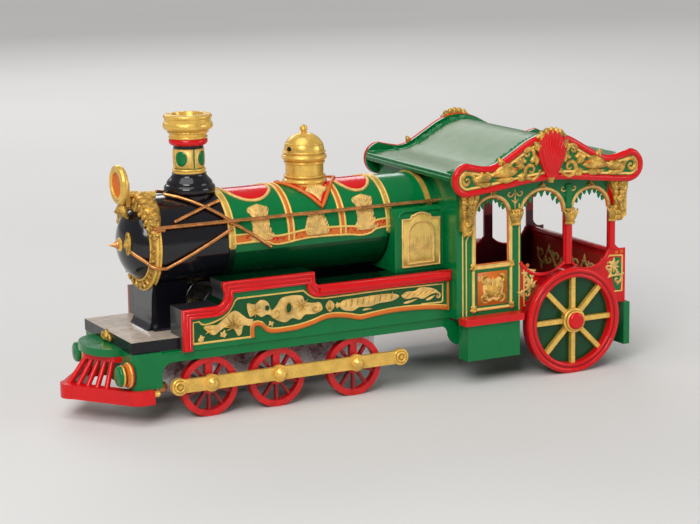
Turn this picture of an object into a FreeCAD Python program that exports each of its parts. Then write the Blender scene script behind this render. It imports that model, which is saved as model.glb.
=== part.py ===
"""Tin clockwork train locomotive, built as a parametric document in millimetres.

The train faces -X and its left side faces -Y. The origin is on the rails' plane, under the
middle of the whole train. Every sub-part is one labelled object and is written to parts/LABEL.step.
"""
import FreeCAD, Part
import math
import os
import re

Vector = FreeCAD.Vector
Rotation = FreeCAD.Rotation
doc = FreeCAD.newDocument("TinTrain")

# ---------------------------------------------------------------- driving dimensions
sheet = doc.addObject("Spreadsheet::Sheet", "Dims")
DIMENSIONS = {
    # running gear
    "driver_radius": 16.1, "axle_radius": 1.5, "running_clearance": 0.06,
    "front_axle_x": -95, "middle_axle_x": -56, "back_axle_x": -10,
    "driver_face": 34.4, "driver_width": 4.4, "driver_rim": 3.2, "crank_throw": 2.6,
    "crankpin_radius": 1.3, "rod_inner": 35.6, "rod_thick": 2.4, "rod_height": 7.0,
    "rod_front_x": -113.4, "rod_rear_x": 16.8, "rod_eye": 4.6,
    "trailing_radius": 30, "trailing_x": 119.4, "trailing_face": 52.4, "trailing_width": 6.2,
    "trailing_rim": 5.4,
    # footplate and front end
    "board_top": 37, "board_depth": 5, "board_half": 36, "tin": 1, "beam_front": -138,
    "beam_back": -122, "beam_bottom": 19, "deck_bottom": 38, "deck_top": 44.2, "deck_half": 34.2,
    "deck_back": -98, "slot_front": -90, "slot_back": -30, "slot_half": 13.5,
    # boiler, smokebox and chimney
    "boiler_axis": 89.4, "boiler_radius": 24.3, "smokebox_front": -115, "boiler_front": -77,
    "cab_front": 48.5, "ring_radius": 25.2, "saddle_front": -117.5, "chimney_x": -88.8,
    "dome_x": -21.1, "lamp_x": -126, "lamp_height": 121,
    # side tanks and firebox
    "tank_front": -111, "tank_inner": 22, "tank_outer": 37, "tank_low": 59.1, "tank_high": 71.5,
    "moulding": 6, "moulding_face": 38.6, "firebox_front": 18, "firebox_top": 98.5,
    "firebox_half": 30,
    # cab
    "cab_back": 159, "cab_half": 44, "floor_bottom": 35, "floor_top": 36.4, "parapet_x": 151,
    "parapet_top": 64.4, "roof_middle": 103.5, "roof_tin": 1.2, "gable_inner": 48.5,
    "gable_outer": 51.9, "step_front": 52, "step_back": 85.3, "step_bottom": 14,
    # clockwork
    "motor_half": 11, "plate_tin": 1, "gear_module": 0.7, "great_teeth": 42, "middle_teeth": 40,
    "pinion_teeth": 12, "axle_teeth": 14, "governor_teeth": 10,
    "arbor_radius": 1.5, "spring_strip": 0.45, "spring_turns": 6,
}
for row, (alias, value) in enumerate(DIMENSIONS.items(), 1):
    sheet.set("A%d" % row, str(value))
    sheet.setAlias("A%d" % row, alias)
doc.recompute()


def dim(formula):
    """The value of a formula of sheet aliases, such as 'board_top - tin'."""
    return float(sheet.evalExpression(bound(formula)))


def bound(formula):
    """A formula as an expression, with each alias looked up in the sheet."""
    return re.sub(r"[a-z][a-z_]{2,}", lambda word: "Dims." + word.group(0), str(formula))


# ---------------------------------------------------------------- helpers for sub-parts
subparts = []


def part(obj, label):
    """Mark an object as a sub-part: its label is the name of its file."""
    obj.Label = label
    subparts.append(obj)
    return obj


def place(obj, x, y, z):
    """Bind an object's position to three formulas."""
    for axis, formula in zip("xyz", (x, y, z)):
        obj.setExpression("Placement.Base." + axis, bound(formula))
    return obj


def box(name, x, y, z):
    """A box between two formulas on each axis."""
    obj = doc.addObject("Part::Box", name)
    for size, (low, high) in zip(("Length", "Width", "Height"), (x, y, z)):
        obj.setExpression(size, bound("(%s) - (%s)" % (high, low)))
    return place(obj, x[0], y[0], z[0])


TURNS = {
    "x": Rotation(Vector(0, 1, 0), 90),
    "y": Rotation(Vector(1, 0, 0), -90),
    "z": Rotation(),
}


def cylinder(name, radius, axis, span, u, v):
    """A cylinder along one axis between two formulas, at (u, v) on the other two axes in order."""
    obj = doc.addObject("Part::Cylinder", name)
    obj.Placement.Rotation = TURNS[axis]
    obj.setExpression("Radius", bound(radius))
    obj.setExpression("Height", bound("(%s) - (%s)" % (span[1], span[0])))
    start = {"x": (span[0], u, v), "y": (u, span[0], v), "z": (u, v, span[0])}[axis]
    return place(obj, *start)


def cut(name, base, tool):
    obj = doc.addObject("Part::Cut", name)
    obj.Base = base
    obj.Tool = tool
    return obj


def common(name, base, tool):
    obj = doc.addObject("Part::Common", name)
    obj.Base = base
    obj.Tool = tool
    return obj


def fuse(name, *shapes):
    obj = doc.addObject("Part::MultiFuse", name)
    obj.Shapes = list(shapes)
    return obj


def group(name, *shapes):
    """Several separate solids of one node."""
    obj = doc.addObject("Part::Compound", name)
    obj.Links = list(shapes)
    return obj


def mirrored(name, source):
    """The same piece on the other side of the train."""
    obj = doc.addObject("Part::Mirroring", name)
    obj.Source = source
    obj.Normal = Vector(0, 1, 0)
    return obj


def pair(name, source):
    return group(name, source, mirrored(name + "_other_side", source))


def edges(path):
    """Edges through a list: a point (u, v) is a line to it, (middle, end) an arc, a list a spline."""
    made = []
    here = Vector(*path[0], 0)
    for step in path[1:]:
        if isinstance(step, list):
            curve = Part.BSplineCurve()
            curve.interpolate([here] + [Vector(*point, 0) for point in step])
            there = Vector(*step[-1], 0)
            made.append(curve)
        elif isinstance(step[0], tuple):
            there = Vector(*step[1], 0)
            made.append(Part.Arc(here, Vector(*step[0], 0), there))
        else:
            there = Vector(*step, 0)
            made.append(Part.LineSegment(here, there))
        here = there
    return made


def sketch_in(body, plane, paths):
    """A sketch on one of the body's origin planes, holding the closed paths."""
    sketch = body.newObject("Sketcher::SketchObject", body.Name + "_outline")
    origin = [each for each in body.Origin.OriginFeatures if each.Role == plane][0]
    sketch.AttachmentSupport = [(origin, "")]
    sketch.MapMode = "FlatFace"
    for path in paths:
        sketch.addGeometry(edges(path), False)
    return sketch


def plate(name, plane, paths, thickness, middle=(0, 0, 0)):
    """A pad of equal thickness each side of the plane, moved to its middle."""
    body = doc.addObject("PartDesign::Body", name)
    sketch = sketch_in(body, plane, paths)
    pad = body.newObject("PartDesign::Pad", name + "_pad")
    pad.Profile = sketch
    pad.Midplane = True
    pad.setExpression("Length", bound(thickness))
    return place(body, *middle)


def turned(name, path, axis="z", middle=(0, 0, 0)):
    """A body turned from an outline of (radius, height) points about one axis."""
    body = doc.addObject("PartDesign::Body", name)
    sketch = sketch_in(body, "XZ_Plane", [path])
    revolution = body.newObject("PartDesign::Revolution", name + "_revolution")
    revolution.Profile = sketch
    revolution.ReferenceAxis = (sketch, ["V_Axis"])
    revolution.Angle = 360
    body.Placement.Rotation = TURNS[axis]
    return place(body, *middle)


def solid(name, shape):
    """A free shape, for a piece that neither a sketch nor a primitive makes."""
    obj = doc.addObject("Part::Feature", name)
    obj.Shape = shape
    return obj


def rod_between(start, end, radius):
    """A round bar between two points, with a round end at the second."""
    start = Vector(*start)
    end = Vector(*end)
    bar = Part.makeCylinder(radius, (end - start).Length, start, end - start)
    return [bar, Part.makeSphere(radius, end)]


def joined(shapes):
    return shapes[0].multiFuse(shapes[1:]).removeSplitter()


# ---------------------------------------------------------------- footplate and front end
def chassis():
    """A pressed footplate: a top sheet with a slot for the motor and two hanging skirts."""
    top = box("board_sheet", ("beam_back", "cab_front"), ("-board_half", "board_half"),
              ("board_top - tin", "board_top"))
    seat = box("deck_seat", ("beam_back", "tank_front"), ("-deck_half", "deck_half"),
               ("board_top - tin", "deck_bottom"))
    tongue = box("deck_tongue_seat", ("tank_front", "deck_back"), ("-tank_inner", "tank_inner"),
                 ("board_top - tin", "deck_bottom"))
    slot = box("motor_slot", ("slot_front", "slot_back"), ("-slot_half", "slot_half"), (30, 40))
    front = dim("beam_back")
    back = dim("cab_front")
    low = dim("board_top - board_depth")
    top_edge = dim("board_top")
    outline = [(front, 26), ((front + 1.8, low - 1.8), (front + 6, low)), (back - 6, low),
               ((back - 2, low - 1.6), (back - 1, low - 5)), ((back + 1, 23.2), (back + 4, 21)),
               (back + 6.4, 21), (back + 6.4, top_edge - 2.1), (back, top_edge - 2.1),
               (back, top_edge), (front, top_edge), (front, 26)]
    skirt = plate("skirt", "XZ_Plane", [outline], "tin", (0, "-board_half + tin / 2", 0))
    part(fuse("chassis", cut("slotted_sheet", top, slot), seat, tongue, skirt,
              mirrored("skirt_right", skirt)), "chassis_frame")


def front_beam():
    """The front beam with rounded corners, and the half-oval shelf ahead of it."""
    front = dim("beam_front")
    back = dim("beam_back")
    half = dim("board_half")
    outline = [(back, -half), (front + 4, -half), ((front + 1.17, -half + 1.17), (front, -half + 4)),
               (front, half - 4), ((front + 1.17, half - 1.17), (front + 4, half)), (back, half),
               (back, -half)]
    height = "deck_bottom - beam_bottom"
    beam = plate("beam", "XY_Plane", [outline], height, (0, 0, "(deck_bottom + beam_bottom) / 2"))
    shelf = [(front, -20), [(front - 8, -17), (front - 13, -9), (front - 14.5, 0), (front - 13, 9),
                            (front - 8, 17), (front, 20)], (front, -20)]
    part(fuse("beam_and_shelf", beam, plate("shelf", "XY_Plane", [shelf], 4, (0, 0, 36.5))),
         "front_beam")
    wide = box("deck_wide", ("beam_front", "tank_front"), ("-deck_half", "deck_half"),
               ("deck_bottom", "deck_top"))
    narrow = box("deck_tongue", ("tank_front", "deck_back"), ("-tank_inner", "tank_inner"),
                 ("deck_bottom", "deck_top"))
    part(fuse("deck", wide, narrow), "front_deck")


def pilot():
    """The cowcatcher: a low V-shaped bar, a small V-shaped bar above it and slats between."""
    foot = [(-127.6, -39), (-132.6, -39), ((-136.8, -38), (-140, -35)), (-160.8, -6.5),
            ((-164.8, 0), (-160.8, 6.5)), (-140, 35), ((-136.8, 38), (-132.6, 39)), (-127.6, 39),
            (-127.6, 33), (-135, 33), (-154.6, 5.2), ((-157.6, 0), (-154.6, -5.2)), (-135, -33),
            (-127.6, -33), (-127.6, -39)]
    low_bar = plate("pilot_foot", "XY_Plane", [foot], 7.5, (0, 0, 15.25))
    head = [(-138, -20), (-142, -18.5), (-150.5, -4), ((-151.8, 0), (-150.5, 4)), (-142, 18.5),
            (-138, 20), (-138, 15), (-147, 2.5), ((-147.6, 0), (-147, -2.5)), (-138, -15),
            (-138, -20)]
    high_bar = plate("pilot_head", "XY_Plane", [head], 3.2, (0, 0, 32.9))
    slats = []
    for index in range(-4, 5):
        share = index / 4.0
        low = Vector(-160.8 + 13.4 * abs(share), 20.8 * share, 17.6)
        high = Vector(-149.6 + 8.2 * abs(share), 15.5 * share, 32.4)
        slats += rod_between(low, high, 1.45)[:1]
    part(fuse("pilot", low_bar, high_bar, solid("pilot_slats", Part.makeCompound(slats))), "pilot")


def buffers():
    """Two buffers: a collar on the beam, a shank and a round head."""
    profile = [(0, 0), (6.4, 0), (6.4, 1.4), (5.2, 2.8), (2.8, 3.2), (2.8, 5), (5.2, 5),
               ((5.4, 6.4), (4.4, 7.4)), (0, 8.2), (0, 0)]
    buffer = turned("buffer_left", profile)
    buffer.Placement.Rotation = Rotation(Vector(0, 1, 0), -90)
    place(buffer, "beam_front", -31.4, 27)
    part(pair("buffers", buffer), "buffers")


# ---------------------------------------------------------------- smokebox, boiler, chimney, dome
def tube(name, radius, wall, span, height="boiler_axis"):
    outer = cylinder(name + "_outer", radius, "x", span, 0, height)
    inner = cylinder(name + "_inner", "%s - %s" % (radius, wall), "x", span, 0, height)
    return cut(name, outer, inner)


def smokebox():
    part(tube("smokebox", "boiler_radius", "tin", ("smokebox_front", "boiler_front")), "smokebox")
    ring = [(19.4, 0), (24.4, 0), ((25.1, 0.7), (25.2, 1.6)), (25.2, 3), (24.2, 3.9), (20, 4.4),
            (19.4, 4), (19.4, 0)]
    body = turned("ring", ring)
    body.Placement.Rotation = Rotation(Vector(0, 1, 0), -90)
    part(place(body, "smokebox_front", 0, "boiler_axis"), "smokebox_ring")
    door = [(0, 0), (19.3, 0), (19.3, 4.4), [(17.4, 7.8), (12.4, 11.8), (6, 13.9), (2.2, 14.4)],
            (2.2, 15.3), [(1.2, 16.2), (0.5, 18), (0, 20.2)], (0, 0)]
    body = turned("door", door)
    body.Placement.Rotation = Rotation(Vector(0, 1, 0), -90)
    part(place(body, "smokebox_front", 0, "boiler_axis"), "smokebox_door")


def saddle():
    """The smokebox saddle: flared where it stands on the deck, hollowed to the smokebox."""
    low = dim("deck_top")
    side = [(-15.6, low), [(-14, low + 2), (-12.4, low + 8), (-12.4, low + 14), (-16, low + 26)],
            (16, low + 26), [(12.4, low + 14), (12.4, low + 8), (14, low + 2), (15.6, low)],
            (-15.6, low)]
    upright = plate("saddle_upright", "YZ_Plane", [side], "deck_back - saddle_front",
                    ("(saddle_front + deck_back) / 2", 0, 0))
    front = dim("saddle_front")
    toe = [(front + 2, low), (front - 3, low), [(front - 1.6, low + 1.6), (front - 0.5, low + 5),
                                                (front, low + 10)],
           (front + 2, low + 10), (front + 2, low)]
    flare = plate("saddle_toe", "XZ_Plane", [toe], 24.8)
    bore = cylinder("saddle_bore", "boiler_radius", "x", (-130, -80), 0, "boiler_axis")
    seat = cylinder("ring_seat", "ring_radius", "x", (-130, "smokebox_front"), 0, "boiler_axis")
    tools = fuse("saddle_tools", bore, seat)
    part(cut("saddle", fuse("saddle_raw", upright, flare), tools), "smokebox_saddle")


def headlamp():
    """A round lamp with an open face, standing on a bracket over the smokebox ring."""
    shell = [(0, 0), (6, 0), [(8.6, 0.3), (10, 1.1), (10.5, 2.3)], ((10.1, 3.7), (8.9, 4.4)),
             ((7.6, 3.9), (6.8, 2.6)), (6, 1.8), (0, 1.4), (0, 0)]
    body = turned("lamp_shell", shell)
    body.Placement.Rotation = Rotation(Vector(0, 1, 0), -90)
    shell = place(body, "lamp_x", 0, "lamp_height")
    post = box("lamp_post", ("lamp_x", "lamp_x + 2.2"), (-3, 3), (109.4, 122))
    arm = box("lamp_arm", ("lamp_x + 2", "smokebox_front + 6"), (-2.2, 2.2), (114.6, 116))
    back = box("lamp_back", ("smokebox_front - 2", "smokebox_front + 6"), (-2.2, 2.2), (113.6, 115))
    barrel = cylinder("lamp_barrel", "boiler_radius", "x", (-119.6, -100), 0, "boiler_axis")
    rim = cylinder("lamp_rim", "ring_radius", "x", (-122, "smokebox_front"), 0, "boiler_axis")
    bracket = cut("bracket_over_barrel", fuse("bracket_raw", post, arm, back), barrel)
    part(fuse("lamp", shell, cut("bracket", bracket, rim)), "headlamp")


def chimney():
    """Black flared foot, lithographed tube, red collar and a gold cap open at the top."""
    foot = [(0, 100), (11.6, 100), (11.6, 112.8), ((13.8, 115.6), (12.4, 118.4)),
            [(10.6, 121.4), (9.6, 122.6), (9.2, 124.5)], (0, 124.5), (0, 100)]
    seat = cylinder("chimney_seat", "boiler_radius", "x", (-130, -60), 0, "boiler_axis")
    band = cylinder("chimney_band", "boiler_radius + 0.6", "x", (-77, -60), 0, "boiler_axis")
    barrel = fuse("chimney_barrel", seat, band)
    part(cut("chimney_foot", turned("chimney_foot_raw", foot, "z", ("chimney_x", 0, 0)), barrel),
         "chimney_base")
    stack = [(6.6, 124.5), (8.6, 124.5), (8.6, 126), (8, 126.6), (8, 139.4), (9.4, 139.4),
             ((10.4, 141.2), (9.4, 143)), (6.6, 143), (6.6, 124.5)]
    part(turned("stack", stack, "z", ("chimney_x", 0, 0)), "chimney_tube")
    cap = [(6.6, 143), (9.4, 143), [(10, 145), (10.6, 146.6), (12.4, 147.6)],
           ((13.3, 149.6), (12.4, 151.4)), (12.4, 153.2), ((12.9, 154.4), (12, 155.5)), (8.6, 155.5),
           (7.6, 152), (7.6, 146), (6.6, 146), (6.6, 143)]
    part(turned("cap", cap, "z", ("chimney_x", 0, 0)), "chimney_cap")


def boiler():
    part(tube("barrel", "boiler_radius", "tin", ("boiler_front", "cab_front")), "boiler")
    bands = []
    for index, (start, wide) in enumerate([(-77, 3), (17, 2), (42, 3)]):
        name = "band_%d" % index
        outer = cylinder(name + "_outer", "boiler_radius + 0.6", "x", (start, start + wide), 0,
                         "boiler_axis")
        inner = cylinder(name + "_inner", "boiler_radius", "x", (start, start + wide), 0,
                         "boiler_axis")
        bands.append(cut(name, outer, inner))
    part(group("bands", *bands), "boiler_bands")


def dome():
    """A brass steam dome on a diamond of red tin that follows the boiler."""
    profile = [(0, 100), (11.4, 100), (11.4, 113.6), ((12, 114.6), (11.4, 115.6)), (10.4, 116.4),
               (10.4, 125.4), (11.4, 126), ((12.2, 127.4), (11.4, 128.8)), (11, 129.4),
               [(10.8, 133), (7.6, 138), (2.4, 140.4)], (1.4, 141), (2.2, 142.4), (1.8, 144),
               (0, 145), (0, 100)]
    seat = cylinder("dome_seat", "boiler_radius + 0.6", "x", (-60, 20), 0, "boiler_axis")
    part(cut("dome", turned("dome_raw", profile, "z", ("dome_x", 0, 0)), seat), "steam_dome")
    outer = cylinder("cloth_outer", "boiler_radius + 0.6", "x", (-50, 10), 0, "boiler_axis")
    inner = cylinder("cloth_inner", "boiler_radius", "x", (-50, 10), 0, "boiler_axis")
    diamond = [(-19, 0), (0, -21.5), (19, 0), (0, 21.5), (-19, 0)]
    stamp = plate("cloth_stamp", "XY_Plane", [diamond], 40, ("dome_x", 0, 115))
    part(common("cloth", cut("cloth_sheet", outer, inner), stamp), "dome_cloth")


def rails_and_braces():
    """Copper handrails on short posts, and the braces that cross the smokebox."""
    axis = dim("boiler_axis")
    rails = []
    for side in (-1, 1):
        rail = rod_between((-119, 24.6 * side, 100.6), (dim("cab_front"), 24.6 * side, 100.6), 1.0)
        pieces = rail[:1]
        for x in (-113.2, -70, 0, 38):
            pieces += rod_between((x, 22.3 * side, 99.9), (x, 24.6 * side, 100.6), 0.9)
        rails.append(joined(pieces))
    routes = [((-105.5, 12), (-75.5, 65)), ((-79, 36), (-106.5, 59)), ((-112.6, 114), (-76, 74)),
              ((-71, 73), (-54, 100))]
    braces = []
    for side in (-1, 1):
        for start, end in routes:
            points = []
            steps = 5
            for index in range(steps + 1):
                share = index / steps
                x = start[0] + share * (end[0] - start[0])
                angle = math.radians(start[1] + share * (end[1] - start[1]))
                reach = dim("boiler_radius") + 1.6
                points.append((x, side * reach * math.sin(angle), axis + reach * math.cos(angle)))
            pieces = [Part.makeSphere(0.9, Vector(*points[0]))]
            for first, second in zip(points, points[1:]):
                pieces += rod_between(first, second, 0.9)
            braces.append(joined(pieces))
    part(solid("wirework", Part.makeCompound(rails + braces)), "handrails")


# ---------------------------------------------------------------- side tanks and firebox
def tank_outline(inset):
    """The tank's side, with its two steps, drawn in from the top and front by an inset."""
    front = dim("tank_front") + inset
    back = dim("cab_front")
    low = dim("tank_low") - inset
    high = dim("tank_high") - inset
    last = 64 - inset
    return [(front, 37), (front, low), (-93, low), ((-88.6, low + 1.4), (-86.8, low + 5.8)),
            (-87.9, low + 9.8), (-87.9, high), (-34.8, high), (-34.8, last + 3),
            ((-34, last + 0.9), (-31.8, last)), (back, last)]


def tanks():
    back = dim("cab_front")
    outline = tank_outline(0) + [(back, 37), (dim("tank_front"), 37)]
    width = "tank_outer - tank_inner"
    middle = (0, "-(tank_outer + tank_inner) / 2", 0)
    case = plate("tank_case", "XZ_Plane", [outline], width, middle)
    hollow = box("tank_hollow", ("tank_front + tin", "cab_front - tin"),
                 ("-tank_outer + tin", "-tank_inner - tin"), (36, "tank_low - tin"))
    left = part(cut("tank_l", case, hollow), "tank_left")
    keyhole = cylinder("keyhole", 4, "y", (20, 40), "%f" % WINDING[0], "%f" % WINDING[1])
    part(cut("tank_r", mirrored("tank_case_right", left), keyhole), "tank_right")
    inner = tank_outline(dim("moulding"))
    strip = tank_outline(0) + [inner[-1]]
    back_along = [(-33.4, 58), ((-37.2, 59.6), (-39, 65.3)), (-82, 65.3), (-82.2, 62.8),
                  ((-85.2, 57), (-92, 53.8)), (-105.8, 53.8), (-105.8, 37), (-111, 37)]
    outline = strip + back_along
    moulding = plate("moulding_left", "XZ_Plane", [outline], "moulding_face - tank_outer",
                     (0, "-(moulding_face + tank_outer) / 2", 0))
    part(pair("mouldings", moulding), "tank_mouldings")


def firebox():
    half = dim("firebox_half")
    top = dim("firebox_top")
    section = [(-half, 64), (-half, top - 5), ((-half + 1.5, top - 1.5), (-half + 5, top)),
               (half - 5, top), ((half - 1.5, top - 1.5), (half, top - 5)), (half, 64),
               (-half, 64)]
    case = plate("firebox_case", "YZ_Plane", [section], "cab_front - firebox_front",
                 ("(cab_front + firebox_front) / 2", 0, 0))
    bore = cylinder("firebox_bore", "boiler_radius", "x", (0, 60), 0, "boiler_axis")
    band = cylinder("firebox_band", "boiler_radius + 0.6", "x", (42, 45), 0, "boiler_axis")
    first = cylinder("firebox_first", "boiler_radius + 0.6", "x", (17, 19), 0, "boiler_axis")
    rail_l = cylinder("firebox_rail", 1.2, "x", (0, 60), -24.6, 100.6)
    rail_r = cylinder("firebox_rail_right", 1.2, "x", (0, 60), 24.6, 100.6)
    hollow = fuse("firebox_hollow", bore, band, first, rail_l, rail_r)
    part(cut("firebox_open", case, hollow), "firebox_casing")


# ---------------------------------------------------------------- cab
def roof_line(drop, half):
    """Half of the ogee roof line, from the eave to the middle, as (distance, height)."""
    return [(half, 118 - drop), (half * 0.83, 119.2 - drop), (half * 0.63, 119.6 - drop),
            (half * 0.48, 122.6 - drop), (half * 0.33, 127.6 - drop), (half * 0.17, 132.2 - drop)]


def roof_curve(drop, half):
    """The whole roof line along X, from front to back."""
    middle = dim("roof_middle")
    front = [(middle - away, height) for away, height in roof_line(drop, half)]
    back = [(middle + away, height) for away, height in reversed(roof_line(drop, half))]
    return front + [(middle, 134.2 - drop)] + back


def roof():
    top = roof_curve(0, 60)
    under = roof_curve(dim("roof_tin"), 60)
    outline = [top[0], top[1:], under[-1], list(reversed(under))[1:], top[0]]
    sheet_body = plate("roof_sheet", "XZ_Plane", [outline], "2 * gable_inner")
    front_edge = dim("roof_middle") - 60
    back_edge = dim("roof_middle") + 60
    low = 114.6
    high = 117.4
    middle = (low + high) / 2
    bead = [(front_edge, low), (front_edge + 3.4, low), (front_edge + 3.4, high),
            (front_edge, high), ((front_edge - 1.2, middle), (front_edge, low))]
    front = plate("front_bead", "XZ_Plane", [bead], "2 * gable_inner")
    bead = [(back_edge, low), ((back_edge + 1.2, middle), (back_edge, high)),
            (back_edge - 3.4, high), (back_edge - 3.4, low), (back_edge, low)]
    back = plate("back_bead", "XZ_Plane", [bead], "2 * gable_inner")
    part(fuse("roof", sheet_body, front, back), "cab_roof")


def gable_outline():
    """The scalloped gable: a rounded lobe at each end and a low arch along the bottom."""
    middle = dim("roof_middle")

    def at(away, height):
        return (middle + away, height)

    return [at(-50, 106), (at(-61.3, 114.8), at(-53, 123.8)),
            [at(-45, 121.8), at(-38, 121.2), at(-29, 124.6), at(-20, 129.8), at(-10, 134.8),
             at(0, 136.6), at(10, 134.8), at(20, 129.8), at(29, 124.6), at(38, 121.2),
             at(45, 121.8), at(53, 123.8)],
            (at(61.3, 114.8), at(50, 106)), [at(34, 107.6), at(0, 110.8), at(-34, 107.6),
                                             at(-50, 106)]]


def gables():
    thickness = "gable_outer - gable_inner"
    left = plate("gable_l", "XZ_Plane", [gable_outline()], thickness,
                 (0, "-(gable_outer + gable_inner) / 2", 0))
    part(left, "gable_left")
    part(mirrored("gable_r", left), "gable_right")
    middle = dim("roof_middle")
    shell = [(middle - 3, 112.5), (middle - 7, 121), ((middle - 6.4, 134), (middle, 139)),
             ((middle + 6.4, 134), (middle + 7, 121)), (middle + 3, 112.5), (middle - 3, 112.5)]
    plaque = plate("plaque_left", "XZ_Plane", [shell], 2.4, (0, "-gable_outer - 1.2", 0))
    part(pair("plaques", plaque), "gable_plaques")
    bracket = [(50.5, 86), (53, 84), (56.5, 92), [(57.5, 98), (60, 103), (61, 107)], (50.5, 107),
               (50.5, 86)]
    shift = 2 * dim("roof_middle")
    rear = [(shift - step[0], step[1]) if isinstance(step, tuple) else
            [(shift - x, height) for x, height in step] for step in bracket]
    front_bracket = plate("bracket_front", "XZ_Plane", [bracket], 4.4, (0, -46.2, 0))
    rear_bracket = plate("bracket_rear", "XZ_Plane", [rear], 4.4, (0, -46.2, 0))
    part(group("brackets", front_bracket, rear_bracket, mirrored("bracket_front_right", front_bracket),
               mirrored("bracket_rear_right", rear_bracket)), "corner_brackets")


def window(left, right, sill, spring, apex):
    """A window with an arched head; the sill is a list of points or one height."""
    middle = (left + right) / 2
    if isinstance(sill, list):
        bottom = [(left, sill[0]), ((middle, sill[1]), (right, sill[2]))]
    else:
        bottom = [(left, sill), (right, sill)]
    return bottom + [(right, spring), ((middle, apex), (left, spring)), bottom[0]]


def cab():
    """Floor, front wall, two pierced side walls and a low parapet at the back."""
    sheet_box = box("floor", ("cab_front + 1.5", "cab_back"),
                    ("-cab_half + 1.5", "cab_half - 1.5"), ("floor_bottom", "floor_top"))
    ear = box("ear", (113.4, 125.4), (-30, -27), (26, "floor_bottom"))
    hole = cylinder("ear_hole", "axle_radius + running_clearance", "y", (-32, -24), "trailing_x",
                    "trailing_radius")
    ear_left = cut("axle_ear", ear, hole)
    part(fuse("floor_and_ears", sheet_box, ear_left, mirrored("axle_ear_right", ear_left)),
         "cab_floor")
    curve = [point for point in roof_curve(dim("roof_tin") + 0.6, 60) if 53 < point[0] < 154]
    side = [(50, 35), (159, 35), (159, 66.4), ((154, 66.8), (151.6, 70)), (151.6, 116.2),
            [point for point in reversed(curve)] + [(52, 116.2)], (50, 116.2), (50, 35)]
    windows = [window(60.3, 82, 65.6, 93, 103), window(89.5, 117.6, [65, 56.8, 62], 90.5, 104.4),
               window(123.2, 147.2, [61.5, 56.8, 65.9], 91, 102.8)]
    left = plate("cab_side_l", "XZ_Plane", [side] + windows, 1.5, (0, "-cab_half + 0.75", 0))
    part(left, "cab_side_left")
    part(mirrored("cab_side_r", left), "cab_side_right")
    front = box("front_sheet", ("cab_front", "cab_front + 1.5"), ("-cab_half", "cab_half"),
                (37, 116.4))
    slot = box("brake_slot", (40, 60), (14.7, 16.3), (41.2, 44))
    part(cut("front_wall", front, slot), "cab_front_wall")
    panel = box("parapet_panel", ("parapet_x", "parapet_x + 1.4"),
                ("-cab_half + 1.5", "cab_half - 1.5"), ("floor_top", "parapet_top"))
    rail = cylinder("parapet_rail", 1.8, "y", ("-cab_half + 1.5", "cab_half - 1.5"),
                    "parapet_x + 0.7", "parapet_top")
    part(fuse("parapet", panel, rail), "cab_parapet")
    posts = []
    for index, x in enumerate((120.4, 149.6)):
        post = cylinder("post_%d" % index, 2, "z", (61, 106) if index == 0 else (67, 83.8), x,
                        "-cab_half")
        keep = box("post_keep_%d" % index, (x - 4, x + 4), (-50, "-cab_half"), (40, 110))
        posts.append(common("column_%d" % index, post, keep))
    posts += [mirrored("%s_right" % post.Name, post) for post in posts]
    part(group("columns", *posts), "cab_columns")


def steps_and_tail():
    """Side steps with red treads, and the rear beam under the floor."""
    case = box("step_case", ("step_front", "step_back"), (-50, -40), ("step_bottom", "floor_bottom"))
    hollow = box("step_hollow", ("step_front + 1.2", "step_back - 1.2"), (-48.8, -39),
                 (10, "floor_bottom - 1.2"))
    tread = box("tread_left", (50, 87.3), (-51.6, "-cab_half"), (34, 37.8))
    step = fuse("step_left", cut("step_shell", case, hollow), tread)
    part(pair("steps", step), "cab_steps")
    part(box("tail", (157, 161), (-46, 46), (10.5, "floor_bottom")), "rear_beam")


# ---------------------------------------------------------------- wheels, axles and rods
def driver(name, x, side, crank):
    """A spoked wheel with a crank block and a headed crankpin; crank is the pin's angle."""
    centre_x = dim(x)
    height = dim("driver_radius")
    inner = "-driver_face" if side < 0 else "driver_face - driver_width"
    outer = "-driver_face + driver_width" if side < 0 else "driver_face"
    rim = cut(name + "_rim", cylinder(name + "_tread", "driver_radius", "y", (inner, outer), x,
                                      "driver_radius"),
              cylinder(name + "_well", "driver_radius - driver_rim", "y", (inner, outer), x,
                       "driver_radius"))
    hub = cylinder(name + "_hub", 4, "y", (inner, outer), x, "driver_radius")
    face = side * dim("driver_face")
    spokes = []
    for index in range(10):
        angle = crank + index * math.pi / 5
        spoke = Part.makeBox(11, 2.4, 1.5, Vector(3, -1.2, -0.75))
        spoke.rotate(Vector(), Vector(0, 1, 0), -math.degrees(angle))
        spoke.translate(Vector(centre_x, face - side * 2.2, height))
        spokes.append(spoke)
    block = Part.makeBox(11.5, 3.2, 4, Vector(2, -1.6, -2))
    block.rotate(Vector(), Vector(0, 1, 0), -math.degrees(crank))
    block.translate(Vector(centre_x, face - side * 2.2, height))
    spider = solid(name + "_spider", joined(spokes + [block]))
    pin_x = centre_x + dim("crank_throw") * math.cos(crank)
    pin_z = height + dim("crank_throw") * math.sin(crank)
    reach = dim("rod_inner + rod_thick")
    ends = sorted([side * (dim("driver_face") - 2), side * (reach + 0.4)])
    pin = cylinder(name + "_pin", "crankpin_radius", "y", ends, pin_x, pin_z)
    ends = sorted([side * (reach + 0.25), side * (reach + 2)])
    head = cylinder(name + "_head", 3.4, "y", ends, pin_x, pin_z)
    bore = cylinder(name + "_bore", "axle_radius", "y", (inner, outer), x, "driver_radius")
    return fuse(name, cut(name + "_web", fuse(name + "_solid", rim, hub, spider), bore), pin, head)


LEFT_CRANK = math.pi / 2
RIGHT_CRANK = 0.0


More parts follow.
